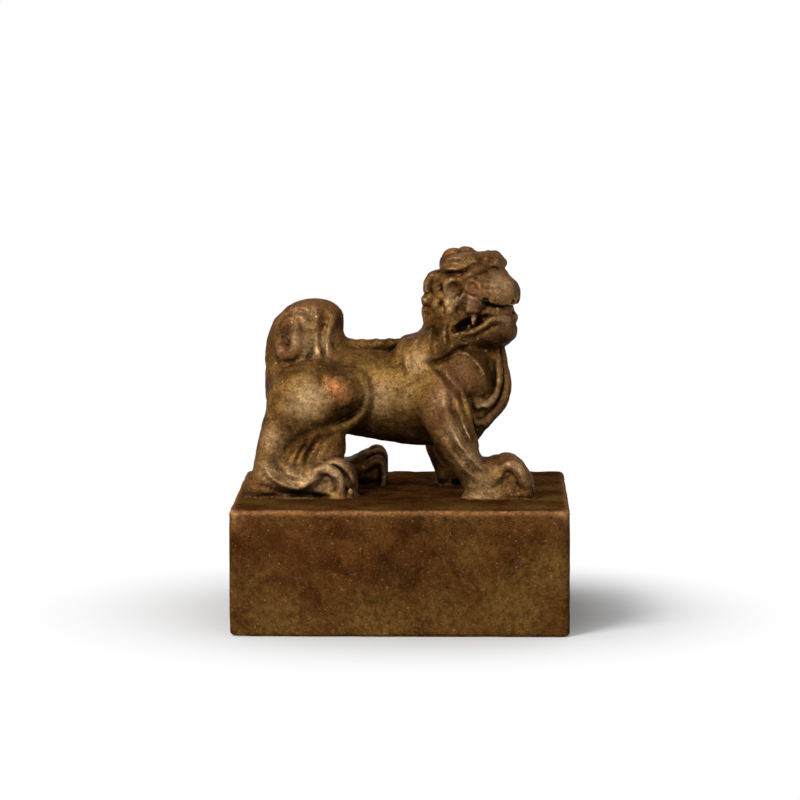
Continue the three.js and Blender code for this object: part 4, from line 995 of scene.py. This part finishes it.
def blockForm(p):
    x, y = np.abs(p[:, 0]), np.abs(p[:, 1])
    half, corner, edge = block["side"] / 2, block["corner"], block["edge"]
    out = np.hypot(np.maximum(x - half + corner, 0), np.maximum(y - half + corner, 0)) - corner
    out = np.maximum(out, np.maximum(x, y) - half) + edge
    up = np.abs(p[:, 2] - block["height"] / 2) - block["height"] / 2 + edge
    f = np.hypot(np.maximum(out, 0), np.maximum(up, 0)) + np.minimum(np.maximum(out, up), 0) - edge
    # Hand finish: sides that are never quite flat, small dents along the edges, and a few pits.
    f += block["wave"] * lumps(p, 5.5, 3.1) + block["ripple"] * lumps(p, 1.7, 1.7)
    near = np.exp(-((np.maximum(out, up) / 0.8) ** 2)) * np.exp(-((np.minimum(out, up) / 1.4) ** 2))
    f += near * np.maximum(lumps(p, 1.9, 8.2), 0) * block["dent"]
    f += block["pit"] * np.maximum(lumps(p, 0.75, 4.4) - 0.62, 0)
    # The cut face.
    low = np.flatnonzero(p[:, 2] < block["depth"] + 1.5)
    if len(low):
        inner = half - block["border"]
        step = inner / block["turns"]
        u, v = inner - x[low], inner - y[low]
        line = np.full(len(low), 9.0)
        for (x0, y0), (x1, y1) in zip(spiral[:-1], spiral[1:]):
            line = np.minimum(line, np.maximum(np.abs(u - (x0 + x1) / 2 * step) - abs(x1 - x0) / 2 * step,
                                               np.abs(v - (y0 + y1) / 2 * step) - abs(y1 - y0) / 2 * step))
        pocket = np.maximum(np.maximum(-np.minimum(u, v), step / 4 - line), p[low, 2] - block["depth"])
        f[low] = -blendLow(-f[low], pocket, 0.25)
    return f


# The block never stands out over its own size, so that it keeps the box of the CAD part.
def blockMesh(cell, room=0.6):
    half = block["side"] / 2
    low, high = (-half - room, -half - room, -room), (half + room, half + room, block["height"] + room)
    points, faces = sculpt(blockForm, low, high, cell, 0.4, 0.5)
    points[:, :2] = np.clip(points[:, :2], -half, half)
    points[:, 2] = np.clip(points[:, 2], 0, block["height"])
    return points, faces


# Faces in, one Blender object out, with its readings as attributes that its finish is made from.
def bronzePiece(name, points, faces, lift, values, finish, nodes):
    mesh = bpy.data.meshes.new(name)
    mesh.vertices.add(len(points))
    mesh.vertices.foreach_set("co", ((points + (0, 0, lift)) * mm).astype(np.float32).ravel())
    mesh.loops.add(faces.size)
    mesh.loops.foreach_set("vertex_index", faces.astype(np.int32).ravel())
    mesh.polygons.add(len(faces))
    mesh.polygons.foreach_set("loop_start", np.arange(0, faces.size, 4, dtype=np.int32))
    mesh.update(calc_edges=True)
    mesh.shade_smooth()
    for key, value in values.items():
        layer = mesh.attributes.new(key, "FLOAT", "POINT")
        layer.data.foreach_set("value", np.asarray(value, np.float32))
    mesh.materials.append(finish)
    piece = bpy.data.objects.new(name, mesh)
    bpy.context.scene.collection.objects.link(piece)
    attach(piece, "root")
    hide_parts(*nodes)
    print(name, len(points), "points", 2 * len(faces), "triangles")
    return piece


# How strongly each point lies in any of several soft round spots of x, y, z, size, share: share times e
# to the minus square of the distance over the size.
def spots(p, rows):
    best = np.zeros(len(p))
    for x, y, z, size, share in rows:
        gap = ((p - (x, y, z)) ** 2).sum(1) / size**2
        best = np.maximum(best, share * np.exp(-gap))
    return best


# Where old gilding shows, where the metal is rosy, where handling has polished it and a painted highlight
# falls, where it is worn to bare copper, and where painted shade lies under the jaw, knee and belly and in
# hollows. The lion's spots are written for its right side.
lionSpots = {
    "gilt": [(-4.02, -5.6, 16.07, 3.2, 0.9), (-0.49, -5.4, 16.6, 3.0, 0.8), (0.46, -5.6, 13.09, 3.4, 0.9),
             (-2.39, -5.4, 11.17, 3.0, 0.5), (1.81, -5, 10.04, 3.0, 0.5), (3.59, -5.8, 16.64, 2.4, 0.6),
             (-12.99, -8.6, 13.67, 3.0, 0.8), (-15.85, -8.2, 13.09, 2.2, 0.5), (8.48, -8.2, 12, 1.5, 1.0),
             (-10.01, -9, 1.43, 1.8, 0.9), (-11.72, -2.9, 20.04, 1.6, 0.9), (-11.43, -3.4, 16.4, 2.0, 0.7),
             (5.75, -4.4, 25.89, 1.6, 0.9), (-13.62, -3, 22.77, 1.2, 0.6), (-17.42, -9.2, 5.1, 2.0, 0.5),
             (14.06, -2.6, 15.23, 1.8, 0.5), (10.65, -3, 31.91, 1.6, 0.5), (13.64, -3.2, 25.79, 1.4, 0.6),
             (12.93, -9.5, 2.7, 1.6, 0.6), (-8.34, -6.2, 9.62, 1.6, 0.6), (-13.26, -8.8, 3.7, 2.0, 0.5)],
    "rosy": [(7.66, -6, 16.11, 2.6, 1.0), (9.83, -5.2, 26.09, 2.1, 1.3), (12.95, -4.9, 28.78, 2.0, 1.0),
             (10.1, -4.6, 29.71, 1.5, 0.9), (14.31, -5, 22.67, 1.3, 0.8), (-12.32, -1.5, 25.1, 2.2, 0.9),
             (6.32, -8.2, 13.09, 2.0, 0.6), (5.23, -8, 11.04, 2.0, 0.6), (14.69, -9.4, 3.77, 2.0, 0.6),
             (-10.67, -9.4, 3.77, 2.0, 0.6), (-15.53, -3, 21.41, 1.8, 0.6), (6.7, -4.6, 27.67, 1.0, 0.8),
             (10.64, -9.3, 5.11, 2.4, 0.6), (6.56, -4, 30.34, 1.4, 0.5), (-15.79, -3.4, 19.13, 1.2, 0.7)],
    "polishAndHighlight": [(-12.45, -8.6, 13.4, 2.0, 0.8), (-13.68, -8.4, 12.57, 1.6, 0.5), (-17.3, -9, 7.77, 1.6, 0.4),
               (13.63, -4.9, 28.37, 1.7, 0.6), (9.28, -5.2, 26.09, 1.0, 0.3),
               (-3.21, -5.2, 13.32, 2.4, 0.4), (0.46, -5.6, 13.36, 1.8, 0.25), (5.64, -8.6, 13.4, 1.3, 0.3),
               (7.27, -9.2, 8.87, 1.4, 0.5), (-11.2, -9.6, 2.45, 1.6, 0.6), (-14.98, -9.4, 2.69, 1.6, 0.5),
               (-13.24, -2.4, 23.67, 1.6, 0.3), (-14.58, -3, 21, 1.2, 0.3), (-11.45, -2.9, 20.04, 1.8, 0.7),
               (-9.68, -2.6, 21.24, 1.2, 0.4), (-13.63, -9.6, 1.64, 1.7, 0.6),
               (-17.42, -9.2, 3.75, 1.4, 0.5), (-9.17, -9.8, 3.41, 2.0, 0.8), (9.02, -9.4, 5.66, 1.5, 0.5),
               (11.18, -9.4, 1.61, 2.0, 0.4), (15.49, -9.8, 4.36, 1.3, 0.5), (6.56, -4.2, 26.28, 1.1, 0.5),
               (13.77, -5, 23.9, 1.0, 0.5), (8.06, -3.6, 31.95, 1.2, 0.3), (11.46, -4.4, 12.15, 1.1, 0.4),
               (2.09, -5.2, 17.94, 1.5, 0.5)],
    "copper": [(-8.54, -8.4, 14.73, 0.95, 0.8), (-7.6, -8.2, 13.22, 1.1, 0.4),
               (6.69, -2.4, 32.96, 0.8, 0.25), (-9.65, -7.6, 15.46, 0.9, 0.4)],
    "sootAndShade": [(13.22, -5.2, 21.47, 2.0, 0.9), (11.19, -5, 20.23, 2.2, 0.9), (5.89, -5.2, 20.25, 2.2, 0.7),
             (4.12, -5, 22.27, 2.2, 0.6), (9.01, -5.2, 20.92, 1.4, 0.6), (13.09, -4.8, 25.1, 1.0, 0.6),
             (3.69, -2.8, 28.62, 1.2, 0.5), (-16.66, -2.2, 21.88, 1.5, 0.7),
             (-12.69, -2.4, 19.99, 1.0, 0.6), (2.51, -6.4, 12.63, 2.0, 0.45),
             (10.65, -3.4, 19.94, 1.8, 0.9), (12.7, -1, 20.41, 1.8, 0.8), (13.09, -4.4, 17.32, 1.0, 0.6),
             (-6.67, -7.8, 11.96, 1.3, 0.7), (-8.57, -7.6, 11.13, 1.6, 0.7), (8.33, -3.6, 23.1, 1.3, 1.0),
             (-13.71, -7.6, 8.69, 1.8, 0.6), (-0.26, -3, 7.91, 2.2, 0.5), (-5.72, -3, 9, 2.2, 0.6)],
}
# The block's spots are written for its front.
blockSpots = {
    "gilt": [(-16, -22, 1.5, 5.0, 0.7), (-3, -22, 1.0, 5.5, 0.8), (6, -22, 3.0, 4.5, 0.6),
             (15, -22, 4.0, 5.0, 0.8), (20, -22, 9.0, 4.5, 0.7), (9, -22, 12.0, 4.0, 0.35),
             (-20, -22, 7.0, 4.0, 0.4), (-13, -19, 16.8, 3.5, 0.9), (-3, -20, 16.8, 3.0, 0.8),
             (8, -19, 16.8, 4.0, 0.9), (18, -18, 16.8, 3.5, 0.8)],
    "rosy": [(-14, -22, 12.0, 6.0, 0.8), (-4, -22, 14.0, 5.0, 0.5)],
    # On the block the dark spots are stains.
    "sootAndShade": [(-1, -22, 9.0, 4.0, 0.45), (3, -22, 13.0, 4.0, 0.3)],
}


# A new node of a tree, with its settings, and then its inputs: a number, a colour, or the output of
# another node.
def nodeOf(tree, kind, inputs, **settings):
    node = tree.nodes.new("ShaderNode" + kind)
    for key, value in settings.items():
        setattr(node, key, value)
    for key, value in inputs.items():
        put(tree, node.inputs[key], value)
    return node


def put(tree, socket, value):
    if isinstance(value, bpy.types.NodeSocket):
        tree.links.new(value, socket)
    elif socket.type == "RGBA":
        socket.default_value = (*value, 1)
    else:
        socket.default_value = value


# Bronze, as a node material. reading is one of the attributes of the skin, grain a noise with a size in
# mm, and span a smooth step. The colours are laid over each other from the body of the metal up to dust
# and dirt, with painted highlight on broad rises and polished spots and painted shade on undersides, under
# overhangs and in crevices.
def finishOf(name, looks):
    material = bpy.data.materials.new(name)
    material.use_nodes = True
    tree = material.node_tree
    shader = tree.nodes["Principled BSDF"]
    place = tree.nodes.new("ShaderNodeTexCoord").outputs["Object"]

    def reading(key):
        return nodeOf(tree, "Attribute", {}, attribute_name=key).outputs["Fac"]

    def grain(size, detail, rough, shift, warp=0.0):
        moved = nodeOf(tree, "VectorMath", {0: place, 1: (shift * mm, 0.7 * shift * mm, 0.4 * shift * mm)})
        inputs = {"Vector": moved.outputs[0], "Scale": 1 / (size * mm), "Detail": detail,
                  "Roughness": rough, "Distortion": warp}
        return nodeOf(tree, "TexNoise", inputs).outputs["Fac"]

    def span(value, low, high, start=0.0, end=1.0):
        inputs = {"Value": value, "From Min": low, "From Max": high, "To Min": start, "To Max": end}
        return nodeOf(tree, "MapRange", inputs, interpolation_type="SMOOTHSTEP").outputs["Result"]

    def sums(kind, a, b):
        return nodeOf(tree, "Math", {0: a, 1: b}, operation=kind).outputs[0]

    def mix(a, b, share, kind="MIX"):
        inputs = {"Factor": share, "A": a, "B": b}
        return nodeOf(tree, "Mix", inputs, data_type="RGBA", blend_type=kind).outputs["Result"]

    cloud = grain(looks["cloud"], 4.0, 0.6, 1.3, 0.6)
    mottle = grain(0.9, 4.0, 0.65, 5.1, 0.3)
    fine = grain(0.28, 3.0, 0.6, 9.7)
    speck = grain(0.34, 2.0, 0.5, 3.3)
    crown, swell, creviceShade = reading("crown"), reading("swell"), reading("creviceShade")
    worn = sums("ADD", crown, sums("MULTIPLY", sums("SUBTRACT", mottle, 0.5), looks["patchy"]))

    tone = mix(looks["deep"], looks["body"], span(cloud, *looks["clouds"]))
    tone = mix(tone, looks["gold"], sums("MULTIPLY", reading("gilt"), span(mottle, 0.32, 0.6, 0.6, 1.0)))
    tone = mix(tone, looks["rose"], sums("MULTIPLY", reading("rosy"), span(mottle, 0.62, 0.36, 0.3, 0.9)))
    # Broad rises are paler: worn bronze, and a painted highlight as well.
    tone = mix(tone, looks["pale"], sums("MULTIPLY", span(swell, *looks["swell"]), 0.6))
    # Polished spots: on the lion a painted highlight as well as polish, on the block its rubbed top edge.
    tone = mix(tone, looks["polishAndHighlight"], sums("MULTIPLY", reading("polishAndHighlight"), span(mottle, 0.3, 0.6, 0.7, 1.0)))
    tone = mix(tone, looks["bright"], sums("MULTIPLY", span(worn, *looks["worn"]), looks["shine"]))
    tone = mix(tone, looks["copper"], sums("MULTIPLY", reading("copper"), span(fine, 0.3, 0.6, 0.6, 1.0)))
    tone = mix(tone, looks["dark"], sums("MULTIPLY", span(worn, *looks["sunk"]), looks["dirt"]))
    # Painted shade on the lion under its jaw, knee and belly and in its hollows; dark stains on the block.
    tone = mix(tone, looks["dark"], sums("MULTIPLY", reading("sootAndShade"), span(mottle, 0.3, 0.55, 1.0, 0.85)))
    # Painted shade: skin that faces down is darkened.
    tone = mix(tone, looks["dark"], span(reading("under"), 0.0, 1.0, 0.0, looks["under"]))
    uneven = sums("MULTIPLY", span(mottle, 0.34, 0.64, 0.78, 1.2), span(fine, 0.3, 0.68, 0.75, 1.25))
    tone = mix(tone, uneven, 1.0, "MULTIPLY")
    tone = mix(tone, looks["dust"], sums("MULTIPLY", span(speck, 0.66, 0.74), 0.35))
    # Painted shade in crevices, where the metal closes in on the skin.
    tone = mix(tone, looks["black"], span(creviceShade, *looks["creviceShade"], 0.0, 0.9))
    tone = mix(tone, looks["black"], sums("MULTIPLY", span(speck, 0.33, 0.25), 0.55))

    metal = sums("MULTIPLY", span(fine, 0.25, 0.6, 0.8, 1.0), looks["metal"])
    gloss = sums("MULTIPLY", reading("polishAndHighlight"), -0.06)
    rough = sums("ADD", span(mottle, 0.3, 0.7, looks["rough"] - 0.06, looks["rough"] + 0.09),
                 span(worn, *looks["worn"], 0.0, -0.09))
    rough = sums("ADD", sums("ADD", rough, gloss), span(creviceShade, 0.3, 0.8, 0.0, 0.25))

    relief = sums("ADD", grain(0.5, 4.0, 0.6, 6.6), sums("MULTIPLY", fine, 0.5))
    relief = sums("SUBTRACT", relief, sums("MULTIPLY", span(speck, 0.36, 0.26), 0.7))
    bump = nodeOf(tree, "Bump", {"Strength": 1.0, "Distance": looks["relief"] * mm, "Height": relief})
    for key, value in (("Base Color", tone), ("Metallic", metal), ("Roughness", rough),
                       ("Normal", bump.outputs["Normal"]), ("Specular IOR Level", looks["gloss"]),
                       ("Specular Tint", looks["rim"])):
        put(tree, shader.inputs[key], value)
    return material


lionLooks = {
    "cloud": 3.2, "clouds": (0.36, 0.60), "patchy": 0.18, "relief": 0.08, "metal": 0.45, "rough": 0.43,
    "body": (0.132, 0.062, 0.018), "deep": (0.060, 0.024, 0.006), "gold": (0.185, 0.100, 0.021),
    "rose": (0.190, 0.082, 0.040), "pale": (0.400, 0.240, 0.105), "polishAndHighlight": (0.500, 0.315, 0.155),
    "bright": (0.540, 0.350, 0.170), "copper": (0.470, 0.165, 0.062), "dark": (0.020, 0.008, 0.002),
    "black": (0.007, 0.003, 0.001), "dust": (0.480, 0.370, 0.230), "rim": (0.18, 0.10, 0.04),
    "swell": (0.08, 0.42), "worn": (0.05, 0.16), "sunk": (0.0, -0.12), "shine": 0.6, "dirt": 0.75,
    "under": 0.75, "creviceShade": (0.30, 0.85), "gloss": 0.04,
}
blockLooks = {
    "cloud": 3.5, "clouds": (0.35, 0.64), "patchy": 0.10, "relief": 0.10, "metal": 0.28, "rough": 0.56,
    "body": (0.090, 0.034, 0.008), "deep": (0.036, 0.011, 0.0025), "gold": (0.135, 0.072, 0.017),
    "rose": (0.092, 0.031, 0.008), "pale": (0.100, 0.045, 0.014), "polishAndHighlight": (0.310, 0.150, 0.055),
    "bright": (0.420, 0.200, 0.075), "copper": (0.420, 0.170, 0.065), "dark": (0.016, 0.006, 0.0015),
    "black": (0.007, 0.003, 0.001), "dust": (0.360, 0.250, 0.140), "rim": (0.10, 0.05, 0.02),
    "swell": (0.25, 0.70), "worn": (0.07, 0.13), "sunk": (-0.03, -0.15), "shine": 0.8, "dirt": 0.6,
    "under": 0.2, "creviceShade": (0.35, 0.85), "gloss": 0.0,
}
lionBronze = finishOf("lion_bronze_finish", lionLooks)
blockBronze = finishOf("block_bronze_finish", blockLooks)

coarser = 1.0
for name, plan in lionPieces.items():
    cell = plan["cell"] * coarser
    points, faces = sculpt(lambda p: pieceForm(p, plan["zone"]), plan["low"], plan["high"], cell)
    values = readings(points, faces, lionSpace, cell)
    near = np.column_stack([points[:, 0], -np.abs(points[:, 1]), points[:, 2]])
    for key, rows in lionSpots.items():
        values[key] = spots(near, rows)
    bronzePiece(name, points, faces, blockTop, values, lionBronze, plan["nodes"])

cell = block["cell"] * coarser
points, faces = blockMesh(cell)
values = readings(points, faces, blockForm, cell)
# The top edge is rubbed bright, most of all at its corners.
inward = block["side"] / 2 - np.abs(points[:, :2])
down = block["height"] - points[:, 2]
rim = np.exp(-((np.hypot(inward.min(1), down) / block["rubbed"]) ** 2))
tip = np.exp(-((inward**2).sum(1) + down**2) / block["rubbedCorner"] ** 2)
# All four sides are stained alike, so each point is turned round to the front before the spots are read.
x, y, z = points.T
end = np.abs(x) > np.abs(y)
turned = np.column_stack([np.where(end, -y * np.sign(x), x), -np.maximum(np.abs(x), np.abs(y)), z])
values["polishAndHighlight"] = np.clip(0.6 * rim + 0.7 * tip, 0, 1)
values["copper"] = 0.35 * rim
for key, rows in blockSpots.items():
    values[key] = spots(turned, rows)
bronzePiece("seal_block_cast", points, faces, 0, values, blockBronze, ["seal_block"])
print("pieces made")

# The camera stands where the photograph was taken from: about 0.6 m off, and a little above the lion.
view = {"place": (0.0101, -0.5935, 0.0907), "ahead": (-0.01755, 1, -0.1037), "lens": 196.8, "sensor": 36}
camera = bpy.data.cameras.new("photograph_camera")
camera.lens, camera.sensor_width = view["lens"], view["sensor"]
camera.clip_start, camera.clip_end = 0.01, 20
eye = bpy.data.objects.new("photograph_camera", camera)
eye.location = view["place"]
eye.rotation_euler = Vector(view["ahead"]).to_track_quat("-Z", "Y").to_euler()
bpy.context.scene.collection.objects.link(eye)
bpy.context.scene.camera = eye

# Soft light from large panels: x, y, z, breadth, power in watts, all aimed at the middle of the model.
aim = Vector((0, 0, 0.025))
panels = {"key_panel": (-0.30, -0.42, 0.40, 0.24, 3.4), "front_panel": (0.22, -0.55, 0.16, 0.36, 0.5),
          "back_panel": (0.10, 0.45, 0.45, 0.40, 0.4), "left_panel": (-0.50, 0.0, 0.18, 0.30, 0.5)}
for name, (x, y, z, breadth, power) in panels.items():
    lamp = bpy.data.lights.new(name, "AREA")
    lamp.shape, lamp.size, lamp.energy = "SQUARE", breadth, power
    holder = bpy.data.objects.new(name, lamp)
    holder.location = (x, y, z)
    holder.rotation_euler = (aim - holder.location).to_track_quat("-Z", "Y").to_euler()
    bpy.context.scene.collection.objects.link(holder)


# One for the camera, for reflections and for a look through glass, and nought for all other light.
def seenDirectly(tree):
    path = tree.nodes.new("ShaderNodeLightPath")
    total = path.outputs["Is Camera Ray"]
    for key in ("Is Glossy Ray", "Is Transmission Ray"):
        total = nodeOf(tree, "Math", {0: total, 1: path.outputs[key]}, operation="MAXIMUM").outputs[0]
    return total


studio = {"light": 0.24, "floorColor": 0.86, "floorRough": 0.9, "floorHalf": 0.45, "fadeFrom": 0.022,
          "fadeTo": 0.055}
white = (1, 1, 1)
world = bpy.data.worlds.new("studio")
world.use_nodes = True
tree = world.node_tree
soft = tree.nodes["Background"]
put(tree, soft.inputs["Color"], white)
put(tree, soft.inputs["Strength"], studio["light"])
plain = nodeOf(tree, "Background", {"Color": white, "Strength": 1.0})
either = nodeOf(tree, "MixShader", {0: seenDirectly(tree), 1: soft.outputs[0], 2: plain.outputs[0]})
put(tree, tree.nodes["World Output"].inputs["Surface"], either.outputs[0])
bpy.context.scene.world = world

# A plain pale floor. It keeps the shadow round the block and runs out into white further off.
floorMesh = bpy.data.meshes.new("floor")
half = studio["floorHalf"]
floorMesh.from_pydata([(-half, -half, 0), (half, -half, 0), (half, half, 0), (-half, half, 0)], [],
                      [(0, 1, 2, 3)])
floor = bpy.data.objects.new("floor", floorMesh)
bpy.context.scene.collection.objects.link(floor)
floorPaint = bpy.data.materials.new("floor_paint")
floorPaint.use_nodes = True
tree = floorPaint.node_tree
paint = tree.nodes["Principled BSDF"]
put(tree, paint.inputs["Base Color"], (studio["floorColor"],) * 3)
put(tree, paint.inputs["Roughness"], studio["floorRough"])
place = tree.nodes.new("ShaderNodeTexCoord").outputs["Object"]
far = nodeOf(tree, "VectorMath", {0: place}, operation="LENGTH").outputs["Value"]
inputs = {"Value": far, "From Min": studio["fadeFrom"], "From Max": studio["fadeTo"]}
fade = nodeOf(tree, "MapRange", inputs, interpolation_type="SMOOTHSTEP").outputs["Result"]
share = nodeOf(tree, "Math", {0: fade, 1: seenDirectly(tree)}, operation="MULTIPLY").outputs[0]
glow = nodeOf(tree, "Emission", {"Color": white, "Strength": 1.0})
either = nodeOf(tree, "MixShader", {0: share, 1: paint.outputs[0], 2: glow.outputs[0]})
put(tree, tree.nodes["Material Output"].inputs["Surface"], either.outputs[0])
floorMesh.materials.append(floorPaint)

bpy.context.scene.view_settings.view_transform = "Standard"
print("studio set")
